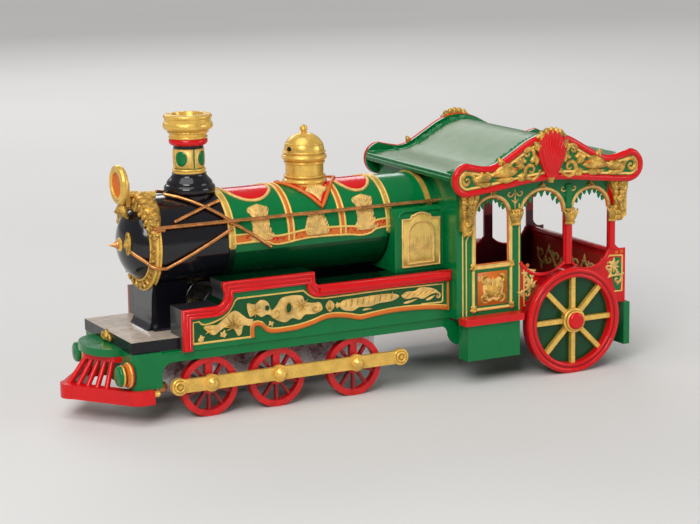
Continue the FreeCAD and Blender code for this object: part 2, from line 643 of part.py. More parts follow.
def wheelsets():
    for name in ("front", "middle", "back"):
        x = name + "_axle_x"
        left = driver(name + "_driver_left", x, -1, LEFT_CRANK)
        right = driver(name + "_driver_right", x, 1, RIGHT_CRANK)
        part(group(name + "_drivers", left, right), name + "_driving_wheels")
        part(cylinder(name + "_axle", "axle_radius", "y", ("-driver_face + 2.2", "driver_face - 2.2"),
                      x, "driver_radius"), name + "_axle")


def coupling_rods():
    """A flat rod on each side, with a round boss at each pin and at each end."""
    for name, side, crank in (("left", -1, LEFT_CRANK), ("right", 1, RIGHT_CRANK)):
        dx = dim("crank_throw") * math.cos(crank)
        dz = dim("crank_throw") * math.sin(crank)
        height = dim("driver_radius") + dz
        span = sorted([side * dim("rod_inner"), side * dim("rod_inner + rod_thick")])
        shift = dx
        bar = box("rod_bar_" + name, (dim("rod_front_x") + shift, dim("rod_rear_x") + shift), span,
                  ("%f - rod_height / 2" % height, "%f + rod_height / 2" % height))
        bosses = []
        holes = []
        for index, x in enumerate(("rod_front_x", "rod_rear_x")):
            bosses.append(cylinder("rod_end_%s_%d" % (name, index), "rod_eye", "y", span,
                                   dim(x) + shift, height))
        for index, x in enumerate(("front_axle_x", "middle_axle_x", "back_axle_x")):
            bosses.append(cylinder("rod_boss_%s_%d" % (name, index), "rod_eye", "y", span,
                                   dim(x) + shift, height))
            holes.append(cylinder("rod_hole_%s_%d" % (name, index),
                                  "crankpin_radius + running_clearance", "y", span,
                                  dim(x) + shift, height))
        part(cut("rod_" + name, fuse("rod_solid_" + name, bar, *bosses),
                 fuse("rod_holes_" + name, *holes)), "coupling_rod_" + name)


def trailing_wheels():
    """The big wheels under the cab: rim, spoked centre, backing disc and hub cap."""
    x = "trailing_x"
    z = "trailing_radius"
    face = "-trailing_face"
    back = "-trailing_face + trailing_width"
    tread = cylinder("big_tread", "trailing_radius", "y", (face, back), x, z)
    well = cylinder("big_well", "trailing_radius - trailing_rim", "y", (face, back), x, z)
    rim = cut("big_rim", tread, well)
    hub = cylinder("big_hub", 6.4, "y", (face, "-trailing_face + 4"), x, z)
    spokes = []
    for index in range(8):
        spoke = Part.makeBox(dim("trailing_radius - trailing_rim") - 4.5, 2.6, 2.6,
                             Vector(4.5, -1.3, -1.3))
        spoke.rotate(Vector(), Vector(0, 1, 0), index * 45)
        spoke.translate(Vector(dim(x), -dim("trailing_face") + 2.3, dim(z)))
        spokes.append(spoke)
    star = fuse("big_star", hub, solid("big_spokes", joined(spokes)))
    bore = cylinder("big_bore", 1.5, "y", (-60, -40), x, z)
    inside = cylinder("big_inside", "trailing_radius - trailing_rim", "y", (-60, -40), x, z)
    part(pair("spokes", common("big_star_trimmed", cut("big_star_bored", star, bore), inside)),
         "trailing_spokes")
    disc = cylinder("big_disc_raw", "trailing_radius - trailing_rim", "y",
                    ("-trailing_face + 4", back), x, z)
    part(pair("dishes", fuse("dish", rim, cut("big_disc", disc, bore))), "trailing_wheels")
    cap = [(0, 0), (4.8, 0), (4.8, 2), ((4.2, 3.2), (2.6, 3.6)), (0, 3.6), (0, 0)]
    body = turned("cap_left", cap)
    body.Placement.Rotation = Rotation(Vector(1, 0, 0), 90)
    place(body, x, "-trailing_face", z)
    part(pair("caps", body), "hub_caps")
    part(cylinder("rear_axle", 1.5, "y", ("-trailing_face + 0.1", "trailing_face - 0.1"), x, z),
         "trailing_axle")


# ---------------------------------------------------------------- clockwork
def arbor(start, radius, degrees):
    """A point at a distance and direction from another, in the (x, z) plane."""
    angle = math.radians(degrees)
    return (start[0] + radius * math.cos(angle), start[1] + radius * math.sin(angle))


MODULE = dim("gear_module")
DRIVEN = (dim("middle_axle_x"), dim("driver_radius"))
TO_MIDDLE = 110.0
TO_WINDING = 48.5
TO_GOVERNOR = 150.0
MIDDLE = arbor(DRIVEN, MODULE * dim("middle_teeth + axle_teeth") / 2, TO_MIDDLE)
WINDING = arbor(MIDDLE, MODULE * dim("great_teeth + pinion_teeth") / 2, TO_WINDING)
GOVERNOR = arbor(MIDDLE, MODULE * dim("middle_teeth + governor_teeth") / 2, TO_GOVERNOR)


def involute(base, radius):
    """The involute's polar angle, in radians, at a radius."""
    if radius <= base:
        return 0.0
    slope = math.sqrt((radius / base) ** 2 - 1)
    return slope - math.atan(slope)


def gear(teeth, phase, centre, span, hole):
    """An involute spur gear about Y with one tooth centred on the phase angle (degrees)."""
    pitch = MODULE * teeth / 2
    base = pitch * math.cos(math.radians(20))
    tip = pitch + MODULE
    root = pitch - 1.25 * MODULE
    play = 0.14
    half = math.pi / (2 * teeth) - play / (2 * pitch) + involute(base, pitch)
    heights = [max(base, root) + share * (tip - max(base, root)) for share in (0, 0.4, 0.75, 1)]
    lines = []
    first = None
    last = None
    for index in range(int(teeth)):
        middle = math.radians(phase) + index * 2 * math.pi / teeth

        def spot(radius, angle):
            return Vector(centre[0] + radius * math.cos(angle), span[0],
                          centre[1] + radius * math.sin(angle))

        rise = [spot(each, middle - half + involute(base, each)) for each in heights]
        fall = [spot(each, middle + half - involute(base, each)) for each in reversed(heights)]
        outline = []
        if root < base:
            outline.append(spot(root, middle - half))
        outline += rise + fall
        if root < base:
            outline.append(spot(root, middle + half))
        if last is not None:
            lines.append(Part.makeLine(last, outline[0]))
        else:
            first = outline[0]
        for here, there in zip(outline, outline[1:]):
            lines.append(Part.makeLine(here, there))
        last = outline[-1]
    lines.append(Part.makeLine(last, first))
    blank = Part.Face(Part.Wire(lines)).extrude(Vector(0, span[1] - span[0], 0))
    bore = Part.makeCylinder(hole, 60, Vector(centre[0], -30, centre[1]), Vector(0, 1, 0))
    return blank.cut(bore) if hole else blank


def meshed_phase(wheel_phase, wheel_teeth, teeth, direction):
    """The phase of a gear that meshes with a wheel which lies the other way from it."""
    step = 360.0 / wheel_teeth
    off = (wheel_phase - direction + step / 2) % step - step / 2
    return direction + 180 - off * wheel_teeth / teeth + 180.0 / teeth


def along_y(radius, span, centre):
    return Part.makeCylinder(radius, span[1] - span[0], Vector(centre[0], span[0], centre[1]),
                             Vector(0, 1, 0))


def clockwork_train():
    """Great wheel, intermediate arbor, axle pinion and governor, in mesh."""
    middle_teeth = dim("middle_teeth")
    middle_phase = TO_MIDDLE + 180
    arbor_radius = dim("arbor_radius")
    wheel = gear(middle_teeth, middle_phase, MIDDLE, (-9, -7), arbor_radius)
    part(solid("middle_wheel", wheel), "intermediate_wheel")
    pinion = gear(dim("pinion_teeth"), TO_WINDING, MIDDLE, (3.5, 7.5), 0)
    shaft = along_y(arbor_radius, (-11.9, 11.9), MIDDLE)
    part(solid("middle_pinion", joined([pinion, shaft])), "intermediate_pinion")
    phase = meshed_phase(middle_phase, middle_teeth, dim("axle_teeth"), TO_MIDDLE + 180)
    axle_pinion = gear(dim("axle_teeth"), phase, DRIVEN, (-9.6, -6.4), dim("axle_radius"))
    part(solid("drive_pinion", axle_pinion), "axle_pinion")
    phase = meshed_phase(TO_WINDING, dim("pinion_teeth"), dim("great_teeth"), TO_WINDING)
    great = gear(dim("great_teeth"), phase, WINDING, (4.5, 6.5), 2.26)
    part(solid("great", great), "great_wheel")
    phase = meshed_phase(middle_phase, middle_teeth, dim("governor_teeth"), TO_GOVERNOR)
    fan_pinion = gear(dim("governor_teeth"), phase, GOVERNOR, (-9.6, -6.4), 0)
    shaft = along_y(1.2, (-11.9, 11.9), GOVERNOR)
    fan = along_y(8, (0.4, 3), GOVERNOR)
    weights = [along_y(1.6, (-1.6, 0.6), arbor(GOVERNOR, 5.6, turn)) for turn in (0, 120, 240)]
    part(solid("fan", joined([fan_pinion, shaft, fan] + weights)), "governor")


def winding():
    """The winding arbor with its ratchet, the click on the great wheel and the butterfly key."""
    ratchet_teeth = 12
    points = []
    for index in range(ratchet_teeth):
        angle = 360.0 / ratchet_teeth * index
        points.append(arbor(WINDING, 4.6, angle))
        points.append(arbor(WINDING, 6, angle + 3))
    points.append(points[0])
    wire = Part.makePolygon([Vector(x, 7.2, z) for x, z in points])
    ratchet = Part.Face(wire).extrude(Vector(0, 1.6, 0))
    shaft = along_y(2.2, (-11.9, 40), WINDING)
    part(solid("winder", joined([shaft, ratchet])), "winding_arbor")
    click = Part.makePolygon([Vector(WINDING[0] + x, 7.2, WINDING[1] + z) for x, z in
                              [(6.3, 0.2), (8.6, 4.2), (10.6, 6.2), (12, 4.6), (10.2, 2.4),
                               (6.3, 0.2)]])
    claw = Part.Face(click).extrude(Vector(0, 1.4, 0))
    rivet = along_y(1, (6.5, 8.8), (WINDING[0] + 10.6, WINDING[1] + 4.6))
    part(solid("pawl", joined([claw, rivet])), "click")
    sleeve = along_y(3.4, (39, 47), WINDING)
    stem = along_y(1.6, (46, 48), WINDING)
    wing_y = 51.2
    bow = []
    for side in (-1, 1):
        lobe = Part.makeCylinder(5.4, 1.8, Vector(WINDING[0] - 0.9, wing_y, WINDING[1] + 5.6 * side),
                                 Vector(1, 0, 0))
        eye = Part.makeCylinder(2.8, 4, Vector(WINDING[0] - 2, wing_y, WINDING[1] + 5.6 * side),
                                Vector(1, 0, 0))
        bow.append(lobe.cut(eye))
    trim = Part.makeBox(10, 60, 60, Vector(WINDING[0] - 5, -4.2, WINDING[1] - 30))
    bow = [lobe.common(trim) for lobe in bow]
    web = Part.makeBox(1.8, 6, 3, Vector(WINDING[0] - 0.9, 47, WINDING[1] - 1.5))
    square = along_y(2.2, (38, 40), WINDING)
    key = joined([sleeve, stem, web] + bow).cut(square)
    part(solid("key", key), "winding_key")


def mainspring():
    """A coiled strip between the arbor and a motor pillar: half circles that grow each half turn."""
    strip = dim("spring_strip")
    growth = 1.5
    inner = 3.0
    halves = int(dim("spring_turns")) * 2
    inside = []
    outside = []
    for index in range(halves):
        radius = inner + growth / 2 * index
        shift = growth / 4 * (1 if index % 2 else -1)
        sign = -1 if index % 2 else 1
        for offset, store in ((-strip / 2, inside), (strip / 2, outside)):
            reach = radius + offset
            points = [Vector(WINDING[0] + shift + reach * math.cos(turn), -5,
                             WINDING[1] + reach * math.sin(turn))
                      for turn in (0 if sign > 0 else math.pi, sign * math.pi / 2,
                                   math.pi if sign > 0 else 2 * math.pi)]
            store.append(Part.Arc(*points).toShape())
    first = Part.makeLine(inside[0].Vertexes[0].Point, outside[0].Vertexes[0].Point)
    last = Part.makeLine(inside[-1].Vertexes[-1].Point, outside[-1].Vertexes[-1].Point)
    wire = Part.Wire(Part.__sortEdges__(inside + outside + [first, last]))
    part(solid("coil", Part.Face(wire).extrude(Vector(0, 8, 0))), "mainspring")


def motor_frame():
    """Two steel side plates with feet under the footplate, and the pillars between them."""
    board = dim("board_top - tin")
    outline = [(-113, 9.5), (14, 9.5), (14, board), (-31, board), (-31, 58),
               ((-33.5, 62.5), (-38, 64.6)), (-70, 64.6), ((-84, 61), (-89, 50)), (-89, board),
               (-113, board), (-113, 9.5)]
    arbors = [(DRIVEN, "axle_radius"), ((dim("front_axle_x"), DRIVEN[1]), "axle_radius"),
              ((dim("back_axle_x"), DRIVEN[1]), "axle_radius"), (MIDDLE, "arbor_radius"),
              (WINDING, "2.2"), (GOVERNOR, "1.2")]
    pillar_spots = [(-108, 14), (-73, 60), (8, 14), (8, 30), (-33.2, 38.6), (-76, 14), (-33, 14)]
    plates = []
    for name, side in (("left", -1), ("right", 1)):
        middle = side * dim("motor_half + plate_tin / 2")
        sheet_body = plate("motor_sheet_" + name, "XZ_Plane", [outline], "plate_tin",
                           (0, middle, 0))
        holes = []
        for index, (spot, radius) in enumerate(arbors):
            holes.append(cylinder("motor_hole_%s_%d" % (name, index),
                                  radius + " + running_clearance", "y",
                                  (middle - 2, middle + 2), spot[0], spot[1]))
        if side > 0:
            holes.append(box("brake_window", (-72, -64), (10, 14), (40.6, 44.6)))
        feet = []
        span = sorted([side * dim("motor_half"), side * (dim("motor_half") + 7)])
        for index, x in enumerate((-108, 2)):
            feet.append(box("foot_%s_%d" % (name, index), (x, x + 8), span,
                            ("board_top - tin - 1", "board_top - tin")))
        plates.append(fuse("motor_plate_" + name, cut("motor_pierced_" + name, sheet_body,
                                                      fuse("motor_holes_" + name, *holes)), *feet))
        part(plates[-1], "motor_plate_" + name)
    pillars = [cylinder("pillar_%d" % index, 1.8, "y", ("-motor_half", "motor_half"), x, z)
               for index, (x, z) in enumerate(pillar_spots)]
    part(group("pillars", *pillars), "motor_pillars")


def brake():
    """A sliding rod from the cab with a finger that presses on the governor's disc."""
    rod = box("brake_bar", (-68.4, 59), (15, 16), (41.6, 43.6))
    finger = box("brake_finger", (-68.4, -67), (0.6, 15.2), (41.6, 43.6))
    knob = doc.addObject("Part::Sphere", "brake_ball")
    knob.Radius = 2.6
    place(knob, 60.5, 15.5, 42.6)
    part(fuse("brake", rod, finger, knob), "brake_rod")


chassis()
front_beam()
pilot()
buffers()
smokebox()
saddle()
headlamp()
chimney()
boiler()
dome()
rails_and_braces()
tanks()
firebox()
roof()
gables()
cab()
steps_and_tail()
wheelsets()
coupling_rods()
trailing_wheels()
clockwork_train()
winding()
mainspring()
motor_frame()
brake()
doc.recompute()

for obj in doc.Objects:
    if "Invalid" in obj.State or "Error" in obj.State:
        raise RuntimeError("%s failed: %s" % (obj.Label, obj.State))
for obj in subparts:
    if obj.Shape.isNull() or not obj.Shape.isValid() or not obj.Shape.Solids:
        raise RuntimeError("%s has no sound solid" % obj.Label)

os.makedirs("parts", exist_ok=True)
for obj in subparts:
    obj.Shape.exportStep("parts/%s.step" % obj.Label)
print("%d sub-parts" % len(subparts))
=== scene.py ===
import math
import random

import bpy
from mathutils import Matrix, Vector


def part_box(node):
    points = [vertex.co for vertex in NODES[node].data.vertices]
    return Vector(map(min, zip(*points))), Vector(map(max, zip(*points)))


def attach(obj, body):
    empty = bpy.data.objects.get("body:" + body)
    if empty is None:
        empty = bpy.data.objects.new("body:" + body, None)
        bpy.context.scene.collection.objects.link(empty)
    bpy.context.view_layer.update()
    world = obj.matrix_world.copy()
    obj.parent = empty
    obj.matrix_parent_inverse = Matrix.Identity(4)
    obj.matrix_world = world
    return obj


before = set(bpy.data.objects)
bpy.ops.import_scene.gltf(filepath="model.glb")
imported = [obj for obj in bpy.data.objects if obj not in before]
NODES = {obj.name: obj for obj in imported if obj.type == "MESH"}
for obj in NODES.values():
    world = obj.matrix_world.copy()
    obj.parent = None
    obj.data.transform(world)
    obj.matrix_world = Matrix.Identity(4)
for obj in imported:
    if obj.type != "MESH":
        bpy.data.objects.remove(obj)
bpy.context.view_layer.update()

MM = 0.001
SIDES = (-1, 1)
SIDE_NAME = {-1: "left", 1: "right"}
ROOT = "locomotive_body"


# ------------------------------------------------------------------ sizes read from the frame
def span(node, axis):
    """Lowest and highest value of a node's box on one axis, in millimetres."""
    low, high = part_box(node)
    return low[axis] / MM, high[axis] / MM


BOILER_LOW, BOILER_HIGH = span("boiler", 2)
AXIS_Z = (BOILER_LOW + BOILER_HIGH) / 2
BOILER_R = (BOILER_HIGH - BOILER_LOW) / 2
RING_FRONT, _ = span("smokebox_ring", 0)
STACK_X = sum(span("chimney_cap", 0)) / 2
DOME_X = sum(span("steam_dome", 0)) / 2
TANK_FACE = -span("tank_left", 1)[0]
MOULDING_FACE = -span("tank_mouldings", 1)[0]
CAB_FACE = -span("cab_side_left", 1)[0]
GABLE_FACE = -span("gable_left", 1)[0]
GABLE_MIDDLE = sum(span("gable_left", 0)) / 2
TRAILING_X = sum(span("trailing_axle", 0)) / 2
TRAILING_R = span("trailing_wheels", 2)[1] / 2
DRIVER_R = span("middle_driving_wheels", 2)[1] / 2
ROD_FACE = -span("coupling_rod_left", 1)[0]
DECK_FRONT = span("front_deck", 0)[0]

# ------------------------------------------------------------------ heights chosen, mm
DOOR_SILL = 64
ARCH_SPRING = 87

# ------------------------------------------------------------------ colours (linear)
GREEN = (0.0, 0.175, 0.042)
DEEP_GREEN = (0.0, 0.06, 0.016)
LEAF_GREEN = (0.0, 0.22, 0.05)
FIELD_GREEN = (0.002, 0.085, 0.018)
RED = (0.70, 0.006, 0.008)
# DARK_RED and MAROON also stand in as painted shade on the inside of the cab.
DARK_RED = (0.30, 0.004, 0.008)
MAROON = (0.085, 0.003, 0.012)
PARAPET_RED = (0.55, 0.035, 0.02)
GOLD = (0.90, 0.53, 0.10)
BRIGHT_GOLD = (0.97, 0.60, 0.12)
PALE_GOLD = (1.0, 0.68, 0.17)
LITHO_GOLD = (0.96, 0.62, 0.19)
ORANGE = (0.70, 0.16, 0.018)
COPPER = (0.80, 0.33, 0.10)
BLACK = (0.006, 0.006, 0.009)
# Near-black green: painted reflection on the tank tops and painted shade under the boiler bands.
SHADE_AND_REFLECTION_GREEN = (0.0, 0.018, 0.006)
ROOF_GREEN = (0.11, 0.20, 0.085)
# Pale warm grey: a painted reflection on the top of the black deck.
TOP_REFLECTION_GREY = (0.52, 0.43, 0.34)
# Dark grey: painted reflection and painted shade on the tanks' tops and front ends.
SHADE_AND_REFLECTION_GREY = (0.022, 0.022, 0.026)
STEEL = (0.60, 0.60, 0.62)


# ------------------------------------------------------------------ materials
class Shader:
    """A small builder round one material's nodes."""

    def __init__(self, name):
        self.material = bpy.data.materials.new(name)
        self.material.use_nodes = True
        self.tree = self.material.node_tree
        self.principled = self.tree.nodes["Principled BSDF"]
        self.coordinates = self.add("ShaderNodeTexCoord").outputs["Object"]
        self.separate = None

    def add(self, kind, **settings):
        node = self.tree.nodes.new(kind)
        for key, value in settings.items():
            setattr(node, key, value)
        return node

    def link(self, source, target):
        self.tree.links.new(source, target)

    def math(self, operation, first, second=None):
        node = self.add("ShaderNodeMath", operation=operation)
        for index, value in enumerate((first, second)):
            if value is None:
                continue
            if isinstance(value, (int, float)):
                node.inputs[index].default_value = value
            else:
                self.link(value, node.inputs[index])
        return node.outputs[0]

    def noise(self, scale, detail=3.0, rough=0.55):
        node = self.add("ShaderNodeTexNoise")
        self.link(self.coordinates, node.inputs["Vector"])
        node.inputs["Scale"].default_value = scale
        node.inputs["Detail"].default_value = detail
        node.inputs["Roughness"].default_value = rough
        return node.outputs["Fac"]

    def ramp(self, source, low, high, to_low, to_high):
        node = self.add("ShaderNodeMapRange")
        self.link(source, node.inputs["Value"])
        for key, value in zip(("From Min", "From Max", "To Min", "To Max"),
                              (low, high, to_low, to_high)):
            node.inputs[key].default_value = value
        return node.outputs["Result"]

    def mix(self, factor, first, second):
        node = self.add("ShaderNodeMix", data_type="RGBA")
        self.link(factor, node.inputs["Factor"])
        for key, value in (("A", first), ("B", second)):
            socket = [each for each in node.inputs if each.name == key and each.type == "RGBA"][0]
            if isinstance(value, tuple):
                socket.default_value = (*value, 1)
            else:
                self.link(value, socket)
        return [each for each in node.outputs if each.type == "RGBA"][0]

    def place(self, axis):
        """x, y, z, |y| or the distance from a wheel's axle in millimetres, or how far up a face looks."""
        if self.separate is None:
            self.separate = self.add("ShaderNodeSeparateXYZ")
            self.link(self.coordinates, self.separate.inputs[0])
        if isinstance(axis, tuple):
            across = self.math("SUBTRACT", self.separate.outputs["X"], axis[0] * MM)
            up = self.math("SUBTRACT", self.separate.outputs["Z"], axis[1] * MM)
            square = self.math("ADD", self.math("MULTIPLY", across, across),
                               self.math("MULTIPLY", up, up))
            return self.math("MULTIPLY", self.math("SQRT", square), 1 / MM)
        if axis == "|y|":
            return self.math("MULTIPLY", self.math("ABSOLUTE", self.separate.outputs["Y"]), 1 / MM)
        if axis == "up":
            normal = self.add("ShaderNodeTexCoord").outputs["Normal"]
            split = self.add("ShaderNodeSeparateXYZ")
            self.link(normal, split.inputs[0])
            return split.outputs["Z"]
        return self.math("MULTIPLY", self.separate.outputs[axis.upper()], 1 / MM)

    def inside(self, tests):
        """1 where every (axis, low, high) test holds, in millimetres."""
        mask = None
        for axis, low, high in tests:
            value = self.place(axis)
            above = self.math("GREATER_THAN", value, low)
            below = self.math("LESS_THAN", value, high)
            both = self.math("MULTIPLY", above, below)
            mask = both if mask is None else self.math("MULTIPLY", mask, both)
        return mask


def enamel(name, colour, zones=(), rough=0.2, metallic=0.0, coat=0.2, ripple=0.12, wear=0.10,
           patchy=1.6):
    """Gloss paint on tin: slight mottling, orange peel and duller patches; zones change colour."""
    shader = Shader(name)
    mottle = shader.ramp(shader.noise(60, 4), 0.35, 0.7, 0.0, wear * 2)
    base = shader.mix(mottle, colour, tuple(channel * 0.55 for channel in colour))
    for tests, zone_colour in zones:
        mask = shader.inside(tests)
        shade = shader.mix(mottle, zone_colour, tuple(channel * 0.6 for channel in zone_colour))
        base = shader.mix(mask, base, shade)
    shader.link(base, shader.principled.inputs["Base Color"])
    dull = shader.ramp(shader.noise(140, 5), 0.3, 0.75, rough / patchy, rough * patchy)
    shader.link(dull, shader.principled.inputs["Roughness"])
    shader.principled.inputs["Metallic"].default_value = metallic
    shader.principled.inputs["Specular IOR Level"].default_value = 0.25
    shader.principled.inputs["Coat Weight"].default_value = coat
    shader.principled.inputs["Coat Roughness"].default_value = 0.05
    bump = shader.add("ShaderNodeBump")
    bump.inputs["Strength"].default_value = ripple
    bump.inputs["Distance"].default_value = 0.0006
    shader.link(shader.noise(420, 2), bump.inputs["Height"])
    shader.link(bump.outputs["Normal"], shader.principled.inputs["Normal"])
    return shader.material


def metal(name, colour, rough=0.25, hammered=0.25, scale=260, metallic=0.85, dark=0.35, zones=()):
    """Plated or bare metal: darker tone in random patches, varying gloss and a fine cast or brushed
    relief.
    """
    shader = Shader(name)
    tone = shader.ramp(shader.noise(scale * 0.6, 5), 0.38, 0.66, 1.0, 0.0)
    deep = tuple(channel * dark for channel in colour)
    base = shader.mix(tone, colour, deep)
    for tests, zone_colour in zones:
        base = shader.mix(shader.inside(tests), base, zone_colour)
    shader.link(base, shader.principled.inputs["Base Color"])
    gloss = shader.ramp(shader.noise(scale, 4), 0.3, 0.7, rough * 0.7, rough * 1.7)
    shader.link(gloss, shader.principled.inputs["Roughness"])
    shader.principled.inputs["Metallic"].default_value = metallic
    bump = shader.add("ShaderNodeBump")
    bump.inputs["Strength"].default_value = hammered
    bump.inputs["Distance"].default_value = 0.001
    shader.link(shader.noise(scale * 1.6, 4), bump.inputs["Height"])
    shader.link(bump.outputs["Normal"], shader.principled.inputs["Normal"])
    return shader.material


FAR = 1000
MATERIALS = {
    "green": enamel("green_enamel", GREEN),
    "deep_green": enamel("deep_green_enamel", DEEP_GREEN),
    "field_green": enamel("field_green_litho", FIELD_GREEN, rough=0.3),
    "leaf_green": enamel("leaf_green_enamel", LEAF_GREEN, rough=0.3),
    "red": enamel("red_enamel", RED),
    "orange": enamel("orange_litho", ORANGE, rough=0.35, ripple=0.3),
    "black": enamel("black_enamel", BLACK, rough=0.16, coat=0.55),
    "gold": metal("gold_plate", BRIGHT_GOLD, rough=0.24, hammered=0.10, metallic=0.42, dark=0.76),
    "cast_gold": metal("cast_gold", GOLD, rough=0.28, hammered=0.6, scale=420, metallic=0.5,
                       dark=0.42),
    "pale_gold": metal("pale_gold_litho", PALE_GOLD, rough=0.34, hammered=0.2, metallic=0.22,
                       dark=0.8),
    "litho_gold": metal("litho_gold", LITHO_GOLD, rough=0.4, hammered=0.35, scale=420,
                        metallic=0.25, dark=0.66),
    "copper": metal("copper_wire", COPPER, rough=0.25, hammered=0.1, metallic=0.75, dark=0.6),
    "steel": metal("bright_steel", STEEL, rough=0.24, hammered=0.08, metallic=1.0, dark=0.8),
    "brass": metal("gear_brass", (0.70, 0.48, 0.16), rough=0.3, metallic=1.0, dark=0.7),
    "blued": metal("blued_steel", (0.10, 0.13, 0.22), rough=0.25, metallic=1.0, dark=0.7),
}


def zoned_materials():
    """Paint that changes colour over one CAD node, by place on the node; some zones are painted shade and
    painted reflection, as noted below.
    """
    inner = CAB_FACE - 0.7
    upward = ("up", 0.5, 2)
    off_face = ("|y|", 0, TANK_FACE - 0.5)
    # The boiler is darker green below its axis: painted shade on its underside.
    MATERIALS["boiler"] = enamel("boiler_enamel", GREEN, [([("z", 0, AXIS_Z - 6)], DEEP_GREEN)])
    # The deck's upward faces are pale grey on the black enamel: a painted reflection of the bright
    # surroundings.
    MATERIALS["deck"] = enamel("deck_enamel", BLACK, [([upward], TOP_REFLECTION_GREY)], rough=0.25)
    MATERIALS["tank"] = enamel("tank_litho", GREEN, [
        # Tank tops: painted reflection, dark grey at the front and near-black green where the boiler's
        # dark underside is reflected.
        ([upward, ("x", -FAR, -90)], SHADE_AND_REFLECTION_GREY), ([upward, ("x", -90, FAR)], SHADE_AND_REFLECTION_GREEN),
        # The tank's front end, and its inner and end faces elsewhere, are darker grey: painted shade.
        ([off_face, ("x", -FAR, -110.4)], SHADE_AND_REFLECTION_GREY),
        ([off_face, ("up", -2, 0.5)], (0.05, 0.05, 0.05))])
    MATERIALS["cab_side"] = enamel("cab_side_litho", GREEN, [
        ([("x", 89.5, FAR), ("z", 0, 72)], RED),
        ([("x", 117, 124), ("z", 60, 89)], RED),
        ([("x", 146.5, FAR), ("z", 60, 112)], RED),
        # The inner faces of the cab sides are the red inside wall with painted shade: maroon below, dark
        # red above.
        ([("|y|", 0, inner), ("z", 0, 76)], MAROON),
        ([("|y|", 0, inner), ("z", 76, FAR)], DARK_RED)])
    MATERIALS["roof"] = enamel("roof_enamel", ROOF_GREEN, rough=0.38, coat=0.06, ripple=0.03, wear=0.05,
                               patchy=1.12)
    MATERIALS["columns"] = enamel("column_enamel", RED, [([("z", 86, FAR)], GREEN)])
    low_z = AXIS_Z - 4
    # Below the axis the bands turn green where the print stops, and near-black green ahead of x 30 as
    # painted shade on the boiler's underside.
    MATERIALS["bands"] = metal("band_litho", GOLD, rough=0.36, hammered=0.25, metallic=0.35,
                               dark=0.62, zones=[([("z", 0, low_z), ("x", -FAR, 30)], SHADE_AND_REFLECTION_GREEN),
                                                 ([("z", 0, low_z), ("x", 30, FAR)], GREEN)])
    axle = (TRAILING_X, TRAILING_R)
    MATERIALS["trailing"] = enamel("trailing_wheel_enamel", RED, [
        ([(axle, -1, 24.5)], DEEP_GREEN), ([(axle, 26.4, 27.3)], DARK_RED),
        ([(axle, 28.0, FAR), ("|y|", 0, 50.4)], DARK_RED)])
    for name in ("front", "middle", "back"):
        middle = sum(span(name + "_axle", 0)) / 2
        MATERIALS[name] = metal(name + "_driver_paint", RED, rough=0.28, hammered=0.1,
                                metallic=0.0, dark=0.75, zones=[
                                    ([("|y|", ROD_FACE - 3, FAR)], GOLD),
                                    ([((middle, DRIVER_R), 4.4, 12.4), ("|y|", 0, 33.4)], DARK_RED)])
    MATERIALS["step"] = enamel("step_enamel", GREEN, [([("z", 33.9, FAR)], RED)])
    MATERIALS["parapet"] = enamel("parapet_litho", PARAPET_RED, [([("z", 60.8, FAR)], RED)],
                                  rough=0.3)
    MATERIALS["buffer"] = enamel("buffer_enamel", GREEN, [
        ([("x", DECK_FRONT - 4.9, FAR)], ORANGE), ([("x", DECK_FRONT - 1.5, FAR)], RED)])
    MATERIALS["stack"] = enamel("stack_litho", GREEN, [([("z", 139.2, FAR)], RED),
                                                      ([("z", 137.2, 139.2)], BLACK),
                                                      ([("z", 0, 126.4)], GOLD)])
    MATERIALS["floor"] = enamel("cab_floor_paint", MAROON, [([("z", 0, 35.4)], DEEP_GREEN)])


zoned_materials()

NODE_PAINT = {
    "green": ["chassis_frame", "front_beam", "firebox_casing", "cab_front_wall",
              "gable_left", "gable_right", "rear_beam"],
    "boiler": ["boiler"], "roof": ["cab_roof"], "bands": ["boiler_bands"],
    "deck": ["front_deck"], "tank": ["tank_left", "tank_right"], "stack": ["chimney_tube"],
    "cab_side": ["cab_side_left", "cab_side_right"], "columns": ["cab_columns"],
    "red": ["pilot", "tank_mouldings", "gable_plaques", "hub_caps", "dome_cloth"],
    "black": ["smokebox", "smokebox_saddle", "smokebox_door", "chimney_base"],
    "step": ["cab_steps"], "parapet": ["cab_parapet"], "floor": ["cab_floor"],
    "buffer": ["buffers"], "trailing": ["trailing_wheels"],
    "cast_gold": ["smokebox_ring", "corner_brackets"],
    "gold": ["chimney_cap", "steam_dome", "coupling_rod_left", "coupling_rod_right",
             "trailing_spokes", "headlamp"],
    "copper": ["handrails"],
    "steel": ["motor_plate_left", "motor_plate_right", "motor_pillars", "front_axle",
              "middle_axle", "back_axle", "trailing_axle", "winding_arbor", "winding_key",
              "click", "brake_rod"],
    "brass": ["great_wheel", "intermediate_wheel", "intermediate_pinion", "axle_pinion",
              "governor"],
    "blued": ["mainspring"],
    "front": ["front_driving_wheels"], "middle": ["middle_driving_wheels"],
    "back": ["back_driving_wheels"],
}


def paint_nodes():
    """Put each CAD node's material in all of its slots."""
    for name, nodes in NODE_PAINT.items():
        for node in nodes:
            slots = NODES[node].data.materials
            if not len(slots):
                slots.append(MATERIALS[name])
            for index in range(len(slots)):
                slots[index] = MATERIALS[name]


paint_nodes()


# ------------------------------------------------------------------ pieces
def finish_piece(obj, paint, body):
    """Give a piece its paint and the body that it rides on."""
    obj.data.materials.append(MATERIALS[paint])
    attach(obj, body)


